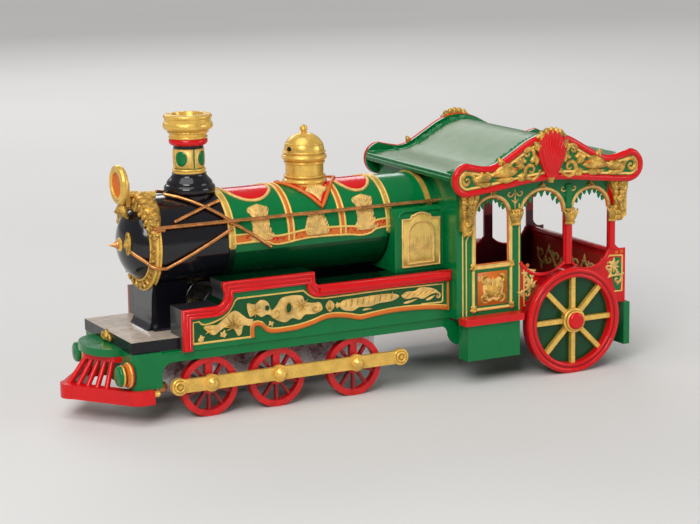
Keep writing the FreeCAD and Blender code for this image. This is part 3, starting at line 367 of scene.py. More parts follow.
def tubes(name, lines, radius, paint, body=ROOT, closed=False, sides=2):
    """Raised lines: each line is a list of (point in millimetres, share of the radius)."""
    curve = bpy.data.curves.new(name, "CURVE")
    curve.dimensions = "3D"
    curve.bevel_depth = radius * MM
    curve.bevel_resolution = sides
    curve.use_fill_caps = True
    for line in lines:
        spline = curve.splines.new("POLY")
        spline.points.add(len(line) - 1)
        for point, (place, share) in zip(spline.points, line):
            point.co = (place[0] * MM, place[1] * MM, place[2] * MM, 1)
            point.radius = share
        spline.use_cyclic_u = closed
    obj = bpy.data.objects.new(name, curve)
    bpy.context.scene.collection.objects.link(obj)
    for spline in curve.splines:
        spline.use_smooth = True
    finish_piece(obj, paint, body)


def mesh_piece(name, vertices, faces, paint, body=ROOT, thick=0.0, smooth=True, bevel=0.0):
    """A mesh from points in millimetres, thickened and bevelled if asked."""
    mesh = bpy.data.meshes.new(name)
    mesh.from_pydata([tuple(value * MM for value in vertex) for vertex in vertices], [], faces)
    mesh.validate()
    mesh.update()
    obj = bpy.data.objects.new(name, mesh)
    bpy.context.scene.collection.objects.link(obj)
    if thick:
        solidify = obj.modifiers.new("thickness", "SOLIDIFY")
        solidify.thickness = thick * MM
        solidify.offset = 1
    if bevel:
        edge = obj.modifiers.new("edge", "BEVEL")
        edge.width = bevel * MM
        edge.segments = 2
        edge.limit_method = "ANGLE"
    for polygon in mesh.polygons:
        polygon.use_smooth = smooth
    finish_piece(obj, paint, body)


def grid(name, columns, surface, paint, body=ROOT, thick=0.25, rows=6, lift=0.0, flip=False):
    """A patch on a surface: columns are (u, low, high), and surface(u, v, lift) gives a point."""
    vertices = []
    for u, low, high in columns:
        for row in range(rows + 1):
            vertices.append(surface(u, low + (high - low) * row / rows, lift))
    faces = []
    step = rows + 1
    for column in range(len(columns) - 1):
        for row in range(rows):
            corner = column * step + row
            face = (corner, corner + 1, corner + step + 1, corner + step)
            faces.append(face if flip else face[::-1])
    mesh_piece(name, vertices, faces, paint, body, thick)


def revolve(name, profile, place, paint, body=ROOT, steps=40):
    """A turned piece: profile is (radius, height); place(radius, angle, height) gives a point."""
    vertices = []
    for step in range(steps):
        angle = 2 * math.pi * step / steps
        vertices += [place(radius, angle, height) for radius, height in profile]
    count = len(profile)
    faces = []
    for step in range(steps):
        here = step * count
        there = (step + 1) % steps * count
        for index in range(count - 1):
            faces.append((here + index, there + index, there + index + 1, here + index + 1))
    mesh_piece(name, vertices, faces, paint, body)


# ------------------------------------------------------------------ surfaces
def wall(side, face):
    """A vertical side wall: u is X and v is Z."""
    return lambda u, v, lift=0.0: (u, side * (face + lift), v)


def barrel(side, radius=BOILER_R):
    """The boiler: u is X and v the angle from the top, in degrees, towards one side."""
    def point(u, v, lift=0.0):
        angle = math.radians(v)
        reach = radius + lift
        return (u, side * reach * math.sin(angle), AXIS_Z + reach * math.cos(angle))
    return point


def facing(front):
    """A wall that faces forward: u is Y and v is Z."""
    return lambda u, v, lift=0.0: (front - lift, u, v)


def stack(radius):
    """The chimney: u is the angle round it, in degrees, and v is Z."""
    def point(u, v, lift=0.0):
        angle = math.radians(u)
        reach = radius + lift
        return (STACK_X + reach * math.cos(angle), reach * math.sin(angle), v)
    return point


# ------------------------------------------------------------------ ornament, drawn in (u, v)
def curl(u, v, size, start, turns=1.1, way=1, thin=0.25):
    """A spiral that ends at (u, v), from its outer end inwards."""
    line = []
    steps = int(26 * turns)
    for index in range(steps + 1):
        share = index / steps
        reach = size * (1 - share) ** 1.25 + size * 0.08
        angle = math.radians(start) + way * share * turns * 2 * math.pi
        line.append((u + reach * math.cos(angle), v + reach * math.sin(angle),
                     0.55 + (1 - thin) * math.sin(math.pi * min(1, share * 1.25 + 0.1)) * 0.6))
    return line


def leaf(u, v, length, angle, bend=25, fat=1.0):
    """A tapered leaf that starts at (u, v) and bends as it goes."""
    line = []
    steps = 9
    x, y = u, v
    heading = angle
    for index in range(steps + 1):
        share = index / steps
        line.append((x, y, 0.12 + fat * math.sin(math.pi * share ** 0.75)))
        x += length / steps * math.cos(math.radians(heading))
        y += length / steps * math.sin(math.radians(heading))
        heading += bend / steps
    return line


def fan(u, v, size, angle, spread=120, count=5, fat=1.0):
    """Leaves that open from one point."""
    lines = []
    for index in range(count):
        share = index / (count - 1) - 0.5
        length = size * (1 - 0.45 * abs(share) * 2)
        lines.append(leaf(u, v, length, angle + spread * share, 50 * share, fat))
    return lines


def vine(start, end, height, waves, fat=1.0):
    """A running scroll: a waving stem with a curl and leaves in every bay."""
    lines = []
    length = math.hypot(end[0] - start[0], end[1] - start[1])
    heading = math.atan2(end[1] - start[1], end[0] - start[0])

    def at(along, across):
        return (start[0] + along * math.cos(heading) - across * math.sin(heading),
                start[1] + along * math.sin(heading) + across * math.cos(heading))

    stem = []
    for index in range(waves * 12 + 1):
        share = index / (waves * 12)
        x, y = at(share * length, height * 0.32 * math.sin(share * waves * math.pi))
        stem.append((x, y, 0.55 + 0.25 * math.sin(math.pi * share)))
    lines.append(stem)
    tilt = math.degrees(heading)
    for bay in range(waves):
        middle = (bay + 0.5) / waves * length
        side = 1 if bay % 2 == 0 else -1
        x, y = at(middle, -side * height * 0.10)
        lines.append(curl(x, y, height * 0.36, tilt + 90 * side, 1.15, -side))
        x, y = at(middle, side * height * 0.30)
        lines += fan(x, y, height * 0.42, tilt + 90 * side, 130, 3, fat)
        x, y = at(middle + length / waves * 0.32, -side * height * 0.12)
        lines += fan(x, y, height * 0.34, tilt - 60 * side, 70, 3, fat)
    return lines


def on(surface, lines, lift=0.0):
    """Lines laid on a surface: a point is (u, v), or (u, v, share) for a share of the radius."""
    return [[(surface(point[0], point[1], lift), point[2] if len(point) > 2 else 1.0)
             for point in line] for line in lines]


def arc(u, v, across, tall, degrees):
    """Points on an ellipse about (u, v), at each of some angles in degrees."""
    return [(u + across * math.cos(math.radians(angle)), v + tall * math.sin(math.radians(angle)))
            for angle in degrees]


def half_round():
    """Places from -1 to 1, each with the height of a half circle there."""
    places = [step / 24 * 2 - 1 for step in range(25)]
    return [(place, math.sqrt(max(0.0, 1 - place * place))) for place in places]


# ------------------------------------------------------------------ outlines read from CAD faces
def key(point):
    """A corner's place rounded, so that neighbouring faces name it alike."""
    return tuple(round(value, 3) for value in point)


def face_loops(node, axis, sign):
    """The closed outlines of a node's outermost flat face towards sign * axis, in millimetres."""
    mesh = NODES[node].data
    places = [vertex.co / MM for vertex in mesh.vertices]
    extreme = max(sign * place[axis] for place in places)
    edges = {}
    for polygon in mesh.polygons:
        corners = [places[index] for index in polygon.vertices]
        if any(sign * corner[axis] < extreme - 0.02 for corner in corners):
            continue
        names = [key(corner) for corner in corners]
        for first, second in zip(names, names[1:] + names[:1]):
            if (second, first) in edges:
                del edges[(second, first)]
            else:
                edges[(first, second)] = True
    follow = {first: second for first, second in edges}
    loops = []
    while follow:
        start = next(iter(follow))
        loop = [start]
        here = follow.pop(start)
        while here != start and here in follow:
            loop.append(here)
            here = follow.pop(here)
        loops.append(loop)
    return sorted(loops, key=len, reverse=True)


def flat(loop):
    """A loop's points as (X, Z)."""
    return [(point[0], point[2]) for point in loop]


def area(loop):
    """Signed area of a closed loop, positive when it runs anticlockwise."""
    total = 0
    for (x0, y0), (x1, y1) in zip(loop, loop[1:] + loop[:1]):
        total += x0 * y1 - x1 * y0
    return total / 2


def inset(loop, distance):
    """A loop moved inwards by a distance."""
    if area(loop) < 0:
        loop = loop[::-1]
    moved = []
    count = len(loop)
    for index in range(count):
        before = Vector(loop[index - 1])
        here = Vector(loop[index])
        after = Vector(loop[(index + 1) % count])
        first = (here - before).normalized()
        second = (after - here).normalized()
        normal = Vector((-first.y - second.y, first.x + second.x))
        if normal.length < 1e-6:
            normal = Vector((-first.y, first.x))
        normal.normalize()
        slope = max(0.35, normal.dot(Vector((-first.y, first.x))))
        spot = here + normal * distance / slope
        moved.append((spot.x, spot.y))
    return moved


def smooth(points, closed=False, steps=4):
    """A smooth line through a few points."""
    count = len(points)
    line = []
    for index in range(count if closed else count - 1):
        around = []
        for offset in (-1, 0, 1, 2):
            place = index + offset
            place = place % count if closed else min(max(place, 0), count - 1)
            around.append(points[place])
        before, start, end, after = around
        for step in range(steps):
            t = step / steps
            line.append(tuple(0.5 * (2 * start[k] + (end[k] - before[k]) * t
                                     + (2 * before[k] - 5 * start[k] + 4 * end[k] - after[k]) * t ** 2
                                     + (3 * start[k] - before[k] - 3 * end[k] + after[k]) * t ** 3)
                              for k in (0, 1)))
    return line if closed else line + [points[-1]]


def patch(name, outlines, surface, paint, thick=0.3, flip=False, lift=0.0, bevel=0.0):
    """Flat cut-out shapes on a wall, one face for each closed (u, v) outline."""
    vertices = []
    faces = []
    for outline in outlines:
        if area(outline) < 0:
            outline = outline[::-1]
        face = tuple(range(len(vertices), len(vertices) + len(outline)))
        vertices += [surface(u, v, lift) for u, v in outline]
        faces.append(face[::-1] if flip else face)
    mesh_piece(name, vertices, faces, paint, thick=thick, smooth=False, bevel=bevel)


# ------------------------------------------------------------------ the ornament of each part
def gables():
    """Red moulded edge, gold line, scrollwork, ribbed shell and crown on each gable."""
    for side in SIDES:
        node = "gable_" + SIDE_NAME[side]
        loop = flat(face_loops(node, 1, side)[0])
        surface = wall(side, GABLE_FACE)
        name = "gable_%s_" % SIDE_NAME[side]
        edge = inset(loop, 1.6)
        tubes(name + "edge", on(surface, [edge], -0.9), 2.0, "red", closed=True)
        line = inset(loop, 4.3)
        tubes(name + "line", on(surface, [line], 0.1), 0.75, "pale_gold", closed=True)
        scrolls = []
        for way in SIDES:
            def at(away, height):
                return (GABLE_MIDDLE + way * away, height)

            def tilt(angle):
                return 90 - way * (90 - angle)

            for away, height, size, angle, turns, sense in (
                    (12.6, 117, 5.6, 180, 1.5, 1), (14.5, 126.4, 4.2, 250, 1.3, -1),
                    (53, 114.8, 4.6, 200, 1.5, -1), (41, 117.2, 2.6, 30, 1.2, -1)):
                scrolls.append(curl(*at(away, height), size, tilt(angle), turns, way * sense, 0.1))
            for away, height, size, angle, spread, count, fat in (
                    (17.5, 121, 7.0, 20, 120, 5, 1.7), (10.5, 121.5, 6.0, 120, 120, 4, 1.5),
                    (17, 114, 5.4, -10, 110, 4, 1.5), (46, 113, 4.6, 60, 90, 4, 1.3),
                    (31, 122, 4.4, 60, 90, 3, 1.2)):
                scrolls += fan(*at(away, height), size, tilt(angle), spread, count, fat)
            for away, height, length, angle, bend, fat in (
                    (20.5, 117.4, 19, 4, -22, 2.5), (24, 121.6, 15, -12, -24, 1.8),
                    (23, 113.4, 13, -4, 10, 1.7), (37, 115.2, 13, 4, -12, 2.2),
                    (37, 112, 12, -6, 22, 1.5)):
                scrolls.append(leaf(*at(away, height), length, tilt(angle), way * bend, fat))
        tubes(name + "scrolls", on(surface, scrolls, 0.1), 1.2, "cast_gold")
        shading = [leaf(GABLE_MIDDLE + way * 22, 119, 15, 90 - way * 93, way * -16, 1.0)
                   for way in SIDES]
        tubes(name + "shading", on(surface, shading, 1.6), 0.9, "orange")
        ribs = []
        for index in range(9):
            share = index / 8 - 0.5
            ribs.append(leaf(GABLE_MIDDLE + share * 3.4, 113.6, 25 - 15 * share ** 2, 90 - share * 34,
                             0, 1.0))
        plaque = wall(side, span("gable_plaques", 1)[1])
        tubes(name + "shell", on(plaque, ribs, -0.4), 1.4, "red")
        crown = [curl(GABLE_MIDDLE + way * 6.0, 132.8, 3.4, 90 - way * 60, 1.3, way, 0.1)
                 for way in SIDES]
        for index in range(5):
            share = index / 4 - 0.5
            spot = GABLE_MIDDLE + share * 12
            top = 138.6 - 6 * share ** 2
            crown.append([(spot, top - 4, 0.8), (spot, top - 1, 1.5), (spot, top + 0.6, 1.3),
                          (spot, top + 1.6, 0.4)])
        for away in (-7.4, 7.4):
            crown += fan(GABLE_MIDDLE + away, 129, 5.4, 90 - away * 6, 80, 3, 1.4)
        crown += [curl(GABLE_MIDDLE + way * 1.2, 113, 2.8, -90, 1.2, -way) for way in SIDES]
        tubes(name + "crown", on(plaque, crown, -1.6), 1.25, "cast_gold")


def roof_trim():
    """Raised green ribs beside the gables, and the fluted green eaves."""
    mesh = NODES["cab_roof"].data
    tops = {}
    for vertex in mesh.vertices:
        x, y, z = vertex.co / MM
        if z > 117.5:
            tops[round(x, 1)] = max(z, tops.get(round(x, 1), 0))
    ridge = sorted(tops.items())
    line = []
    for x, z in ridge:
        if not line or x - line[-1][0] > 0.8:
            line.append((x, z))
    roof_half = span("cab_roof", 1)[1]
    for side in SIDES:
        ribs = [[((x, side * (roof_half - away), z + 0.2), 1.0) for x, z in line]
                for away in (1.6, 4.4)]
        tubes("roof_rib_%s" % SIDE_NAME[side], ribs, 1.5, "green")
    low, high = span("cab_roof", 0)
    for x, way in ((low + 1.0, -1), (high - 1.0, 1)):
        flutes = [[((x + way * offset, y, height), 1.0) for y in (-roof_half, roof_half)]
                  for offset, height in ((0.2, 117.7), (0.6, 115.9), (0.1, 114.9))]
        tubes("eave_flutes_%s" % ("front" if way < 0 else "back"), flutes, 0.9, "green")


def runs(path, split, above):
    """The stretches of a path whose height is above (or below) a level."""
    pieces = [[]]
    for point in path:
        if (point[1] > split) == above:
            pieces[-1].append(point)
        elif pieces[-1]:
            pieces.append([])
    return [piece for piece in pieces if len(piece) > 1]


def cab_sides():
    """Window beads, leaves in the arches, the door's panel, lines and scrollwork on the cab."""
    for side in SIDES:
        node = "cab_side_" + SIDE_NAME[side]
        name = "cab_%s_" % SIDE_NAME[side]
        loops = [flat(loop) for loop in face_loops(node, 1, side)]
        outer = max(loops, key=lambda loop: abs(area(loop)))
        windows = sorted([loop for loop in loops if loop is not outer and abs(area(loop)) > 50],
                         key=lambda loop: loop[0][0])
        surface = wall(side, CAB_FACE)

        def edges(distance, above):
            """The windows' edges, moved out by a distance, above or below the sill or spring."""
            pieces = []
            for number, loop in enumerate(windows):
                path = inset(loop, -distance)
                split = DOOR_SILL if number == 0 else ARCH_SPRING
                pieces += runs(path + [path[0]], split, above)
            return pieces

        tubes(name + "window_beads", on(surface, edges(0.6, True), -0.2), 1.0, "litho_gold")
        tubes(name + "window_rails", on(surface, edges(0.6, False), -0.2), 1.3, "red")
        tubes(name + "window_edges", on(surface, edges(-0.2, True), -0.9), 0.8, "orange")
        drips = []
        lobes = []
        for loop in windows:
            left = min(point[0] for point in loop)
            right = max(point[0] for point in loop)
            top = max(point[1] for point in loop)
            middle = (left + right) / 2
            half = (right - left) / 2
            for way in SIDES:
                lobes.append([(middle + way * 1.6, top + 1.6, 1.4), (middle, top + 3.4, 0.6)])
            lobes.append([(middle, top + 1.2, 1.6), (middle, top + 4.6, 0.4)])
            for index in range(-3, 4):
                angle = math.radians(90 - index * 19)
                u = middle + (half - 1.2) * math.cos(angle)
                v = top - half + (half - 0.8) * math.sin(angle)
                length = 3.4 if index % 2 else 5.0
                drips += fan(u, v, length * 0.75, -90 - index * 6, 120, 3, 1.2)
        tubes(name + "arch_leaves", on(surface, drips, -1.2), 0.8, "leaf_green")
        tubes(name + "keystones", on(surface, lobes, 0.2), 0.95, "cast_gold")
        panel_front, panel_back = 60.6, 81.8
        frame_lines = [
            [(panel_front - 1.6, 40.2), (panel_front - 1.6, 96)],
            [(panel_back + 1.2, 40.2), (panel_back + 1.2, 90)],
            [(panel_front - 1.6, 64.2), (panel_back + 1.2, 64.2)],
            [(panel_front - 1.6, 41.0), (panel_back + 1.2, 41.0)]]
        tubes(name + "door_frame", on(surface, frame_lines, 0.1), 0.9,
              "pale_gold")
        fine = [[(88.4, 38), (88.4, 98)], [(54.6, 38), (54.6, 80), (57.6, 86)],
                [(52.4, 38), (52.4, 84)]]
        tubes(name + "fine_lines", on(surface, fine, 0.0), 0.4,
              "pale_gold")
        columns = [(panel_front + 1, 43, 61.6), (panel_back - 1.4, 43, 61.6)]
        grid(name + "door_panel", columns, surface, "orange", thick=0.5, rows=2, flip=side > 0)
        centre = (panel_front + panel_back) / 2
        mass = smooth([(centre - 6.6, 54), (centre - 4, 58.4), (centre, 57), (centre + 4, 58.4),
                       (centre + 6.6, 54), (centre + 5.4, 48), (centre + 2.6, 45), (centre, 46),
                       (centre - 2.6, 45), (centre - 5.4, 48)], True)
        patch(name + "door_mass", [mass], surface, "litho_gold", thick=0.4, flip=side > 0, lift=0.5,
              bevel=0.15)
        crest = fan(centre, 50, 8.4, 90, 250, 9, 1.7) + fan(centre, 53, 6.0, -90, 150, 5, 1.5)
        for v, lean, sense in ((57, 30, -1), (47, 150, 1)):
            crest += [curl(centre + way * 5.4, v, 2.6, 90 + way * lean, 1.2, way * sense)
                      for way in SIDES]
        tubes(name + "door_crest", on(surface, crest, 0.5), 1.0, "cast_gold")
        corners = []
        for u in (panel_front - 1.6, panel_back + 1.2):
            for v in (64.4, 41):
                corners += fan(u, v, 3.4, 90, 300, 6, 1.2)
        tubes(name + "door_corners", on(surface, corners, 0.4), 0.8, "cast_gold")
        fields = [smooth([(93, 42.4), (98.4, 42.6), (97.4, 50), (96, 56.6), (93, 58)], True),
                  smooth([(148, 58.6), (150, 50), (152, 43.4), (155.6, 42.8), (155.4, 60.4)], True)]
        patch(name + "body_fields", fields, surface, "green", thick=0.15, flip=side > 0)
        litho = vine((92, 44), (96, 60), 8, 3) + fan(96, 50, 7, 100, 170, 6, 1.4)
        litho += vine((146.5, 58.5), (155.6, 47), 7, 3) + fan(150.6, 56, 6, 60, 200, 6, 1.3)
        tubes(name + "body_scrolls", on(surface, litho, 0.1), 0.75, "litho_gold")
        edging = [[(91.4, 62), (91.4, 40), (100, 40)], [(156.8, 62), (156.8, 41.5), (151, 41.5)],
                  [(156.8, 62), (148.5, 62.6), (144, 60.6)], [(91.4, 62), (96, 59.4), (100, 57)]]
        tubes(name + "body_lines", on(surface, edging, 0.1), 0.5,
              "pale_gold")
        rosettes = []
        for u, v in ((93.6, 62.6), (152.6, 64.0), (156, 64.2)):
            rosettes += fan(u, v, 1.5, 0, 315, 8, 1.5)
        tubes(name + "rosettes", on(surface, rosettes, 0.1), 0.6, "orange")
        spandrels = []
        for u in (85.7, 120.4):
            spandrels += fan(u, 98, 6.4, 90, 70, 3, 0.8)
            spandrels.append([(u, 90, 0.5), (u, 106, 0.5)])
            spandrels += [curl(u - 3.4, 104, 2.2, 0, 1.0, -1), curl(u + 3.4, 104, 2.2, 180, 1.0, 1)]
        tubes(name + "spandrels", on(surface, spandrels, 0.1), 0.5, "litho_gold")


def capitals():
    """Gold capitals on the cab's columns and the pilaster between the first two windows."""
    for side in SIDES:
        lines = []
        for x, height, reach in ((85.7, 88.5, 1.6), (120.4, 86, 3.2), (149.6, 85, 2.6)):
            for spread in range(-2, 3):
                lean = spread * 0.9
                lines.append([((x + lean * wide, side * (CAB_FACE + reach * out), height + up), share)
                              for wide, out, up, share in ((1.0, 0.4, -1.5, 0.7), (1.4, 0.8, 1.5, 1.2),
                                                           (2.0, 1.0, 4.4, 1.0), (2.6, 0.8, 6.2, 0.4))])
            for ring in (-1.6, 6.0):
                lines.append([((x + along, side * (CAB_FACE + reach * out), height + ring), share)
                              for along, out, share in ((-3.0, 0.5, 0.9), (0, 0.9, 1.0),
                                                        (3.0, 0.5, 0.9))])
        tubes("capitals_" + SIDE_NAME[side], lines, 0.9, "cast_gold")


def corner_figures():
    """Tumbling leaf brackets under the ends of the gables."""
    chance = random.Random(7)
    for side in SIDES:
        for x, way, name in ((54.4, 1, "front"), (2 * GABLE_MIDDLE - 54.4, -1, "back")):
            lines = []
            for row in range(8):
                height = 105.5 - row * 2.9
                reach = 5.6 - row * 0.5
                for column in range(3):
                    lean = (column - 1) * (2.6 - row * 0.22)
                    out = CAB_FACE + reach * (1.0 - 0.25 * abs(column - 1))
                    swing = chance.uniform(-0.7, 0.7)
                    start = Vector((x + lean, side * (out - 1.2), height + 1.4))
                    tip = Vector((x + lean * 1.5 + swing, side * (out + 0.2), height - 2.4))
                    bulge = start.lerp(tip, 0.5) + Vector((0, side * 0.9, 0.4))
                    lines.append([(start, 0.5), (start.lerp(bulge, 0.6), 1.1), (bulge, 1.35),
                                  (bulge.lerp(tip, 0.5), 1.1), (tip, 0.4)])
            surface = wall(side, CAB_FACE + 4.8)
            scrolls = [curl(x + way * shift, height, size, 90, turns, way * sense)
                       for shift, height, size, turns, sense in (
                           (-1.6, 103, 3.2, 1.3, -1), (1.2, 96.4, 2.6, 1.2, 1),
                           (-1.4, 90.6, 2.0, 1.1, -1))]
            lines += on(surface, scrolls)
            tubes("figure_%s_%s" % (SIDE_NAME[side], name), lines, 1.3, "cast_gold")


def tanks():
    """Gold line, waved border and cut gold masses on the side tanks, and their red mouldings."""
    line = [(-104.8, 40.4), (-104.7, 51.8), (-101.4, 52), (-99.9, 50.4), (-97.6, 49.9), (-93, 50.7),
            (-88.4, 52.3), (-84.4, 54.9), (-81.9, 58.6), (-80.6, 60.9), (-79, 61.8), (-41, 61.8),
            (-38.4, 59.4), (-35, 57.3), (-29, 56.4), (12, 57), (43.6, 56.4), (43.6, 47), (42.6, 46.2)]
    wave = smooth([(-63, 43.6), (-60, 42.3), (-54, 42), (-45, 42.4), (-36, 44), (-29, 46), (-22, 46.3),
                   (-14, 45), (-7.5, 43.4), (-1, 44), (12, 45), (25, 44.9), (38, 44), (46, 42.8)])
    step_up = [(-71.2, 40.2), (-71.2, 45.6), (-70.2, 46.9), (-68, 47.2), (-65.4, 46.2)]
    leaf_mass = [(-99, 48.6), (-95, 49.4), (-91, 49.4), (-86, 53), (-81, 55.6), (-77, 53), (-74, 50.6),
                 (-70.6, 49.6), (-72.6, 46.6), (-76.4, 47), (-77.6, 43), (-79.6, 42), (-81.6, 45.6),
                 (-85, 47.8), (-89.4, 46.2), (-93.6, 44)]
    centre_mass = [(-74, 58.4), (-69.6, 57.6), (-66, 59.6), (-62, 58), (-60, 53.4), (-57, 55.4),
                   (-54, 59.2), (-48, 60), (-42, 59.2), (-40.2, 55.8), (-35, 54.6), (-31.4, 54.4),
                   (-30.2, 50.4), (-35, 48.6), (-40.4, 48.8), (-43.6, 46.4), (-48, 47.8), (-52, 46),
                   (-57.6, 48), (-62, 51.4), (-66, 50.4), (-68.6, 52.6), (-72.6, 51.4)]
    knob = [(-28.2, 52), (-25.6, 55), (-22.8, 52), (-25.6, 48.6)]
    bar = [(-19.6, 51), (-17.4, 54), (-8, 54.4), (2, 54.8), (12, 54.4), (16.4, 52.6), (12, 50.4),
           (4, 50), (-2, 48.8), (-8, 49.2), (-12, 47.6), (-17.4, 48.6)]
    fish = [(17.8, 52.4), (21, 54.4), (26, 54.4), (30, 56), (37.4, 54.6), (40.6, 52.2), (36, 51.4),
            (31, 49.4), (26.4, 50.8), (21, 50.4)]
    for side in SIDES:
        surface = wall(side, TANK_FACE)
        name = "tank_%s_" % SIDE_NAME[side]
        field = line[1:-1] + [(43.6, 44.6), (25, 45.6), (-1, 44.8), (-7.5, 44), (-22, 46.8), (-29, 46.6),
                              (-45, 43), (-60, 43), (-66, 47.4), (-71.4, 46.4), (-71.4, 40.6),
                              (-104.8, 40.6)]
        patch(name + "field", [field], surface, "field_green", thick=0.1, flip=side > 0)
        tubes(name + "line", on(surface, [line + [(30, 46.4)]], 0.1), 0.5, "pale_gold")
        tubes(name + "foot_line", on(surface, [[(-105, 40.4), (-71.2, 40.4)]], 0.1), 0.6,
              "pale_gold")
        tubes(name + "border", on(surface, [step_up + wave], 0.1), 1.3, "orange")
        upper = [(u - 0.8, v + 0.6) for u, v in step_up[:2]]
        upper += [(u, v + 1.3) for u, v in step_up[2:] + wave]
        tubes(name + "border_line", on(surface, [upper], 0.2), 0.45, "pale_gold")
        tubes(name + "ends", on(surface, [[(47, 41.4), (47, 57.4)]], 0.1), 0.8, "orange")
        masses = [smooth(points, True) for points in (leaf_mass, centre_mass, knob, bar, fish)]
        patch(name + "masses", masses, surface, "litho_gold", thick=0.7, flip=side > 0, bevel=0.22)
        eye = arc(-50, 53.6, 1.9, 3.0, range(0, 360, 20))
        small = arc(-62.6, 55, 1.3, 1.5, range(0, 360, 30))
        patch(name + "eyes", [eye, small], surface, "deep_green", thick=0.2, flip=side > 0, lift=0.7)
        tubes(name + "eye_rim", on(surface, [eye], 0.8), 0.5, "cast_gold", closed=True)
        relief = fan(-82, 46.6, 8.2, 92, 190, 9, 0.9) + fan(-95, 46.6, 4.4, 150, 200, 5, 0.8)
        relief += fan(-70, 53.4, 5.2, 60, 260, 8, 0.8) + [curl(-57.4, 51.6, 3.0, 200, 1.2, 1)]
        relief += fan(-43, 53.4, 5.6, 40, 280, 9, 0.8) + [curl(-34.4, 51.6, 2.4, 20, 1.2, -1)]
        relief += fan(-25.6, 49.6, 4.6, 90, 110, 5, 0.7)
        relief += [leaf(-17 + index * 3.5, 49.9 + index * 0.2, 4.6, 62, 30, 0.8)
                   for index in range(9)]
        relief += [leaf(20 + index * 3.4, 51.2, 5.4, 40, -20, 0.8) for index in range(5)]
        tubes(name + "relief", on(surface, relief, 0.75), 0.42, "cast_gold")
        loose = [curl(-101, 42.6, 1.7, 90, 1.2, -1), curl(-67, 55.6, 1.6, 180, 1.0, 1)]
        loose += fan(-100.6, 42.4, 2.6, 30, 220, 5, 1.1) + fan(-88, 43, 3.2, 70, 200, 5, 1.2)
        loose += fan(-60, 46.8, 3.0, 250, 160, 4, 1.0) + fan(-21, 51.6, 2.4, 0, 300, 6, 1.0)
        loose += [curl(40.6, 50, 1.8, 120, 1.2, -1), leaf(33, 48.4, 6.4, 12, 20, 1.2),
                  leaf(19, 48.2, 9, 4, 14, 1.1), leaf(-6, 47.2, 6, 10, -20, 0.9)]
        tubes(name + "sprigs", on(surface, loose, 0.1), 0.62, "litho_gold")
        moulding = wall(side, MOULDING_FACE)
        loops = [flat(loop) for loop in face_loops("tank_mouldings", 1, side)]
        outer = max(loops, key=lambda loop: abs(area(loop)))
        edge = inset(outer, 0.9)
        tubes(name + "moulding_edge", on(moulding, [edge], -0.3), 1.15, "red", closed=True)
        ribs = [[(-108.4, 38.6), (-108.4, 56.2), (-93.6, 56.2), (-89.2, 58.2), (-86, 61.6),
                        (-84.9, 64.6), (-84.9, 68.4), (-37.6, 68.4), (-36.6, 64.6), (-33.4, 61.2)]]
        tubes(name + "moulding_ribs", on(moulding, ribs, -0.2), 0.9, "red")
        rear = [[(-32, 61, 0.9), (-29, 61, 1.0), (47, 61, 1.0)]]
        tubes(name + "moulding_bar", on(moulding, rear, -0.9), 2.3, "red", sides=4)


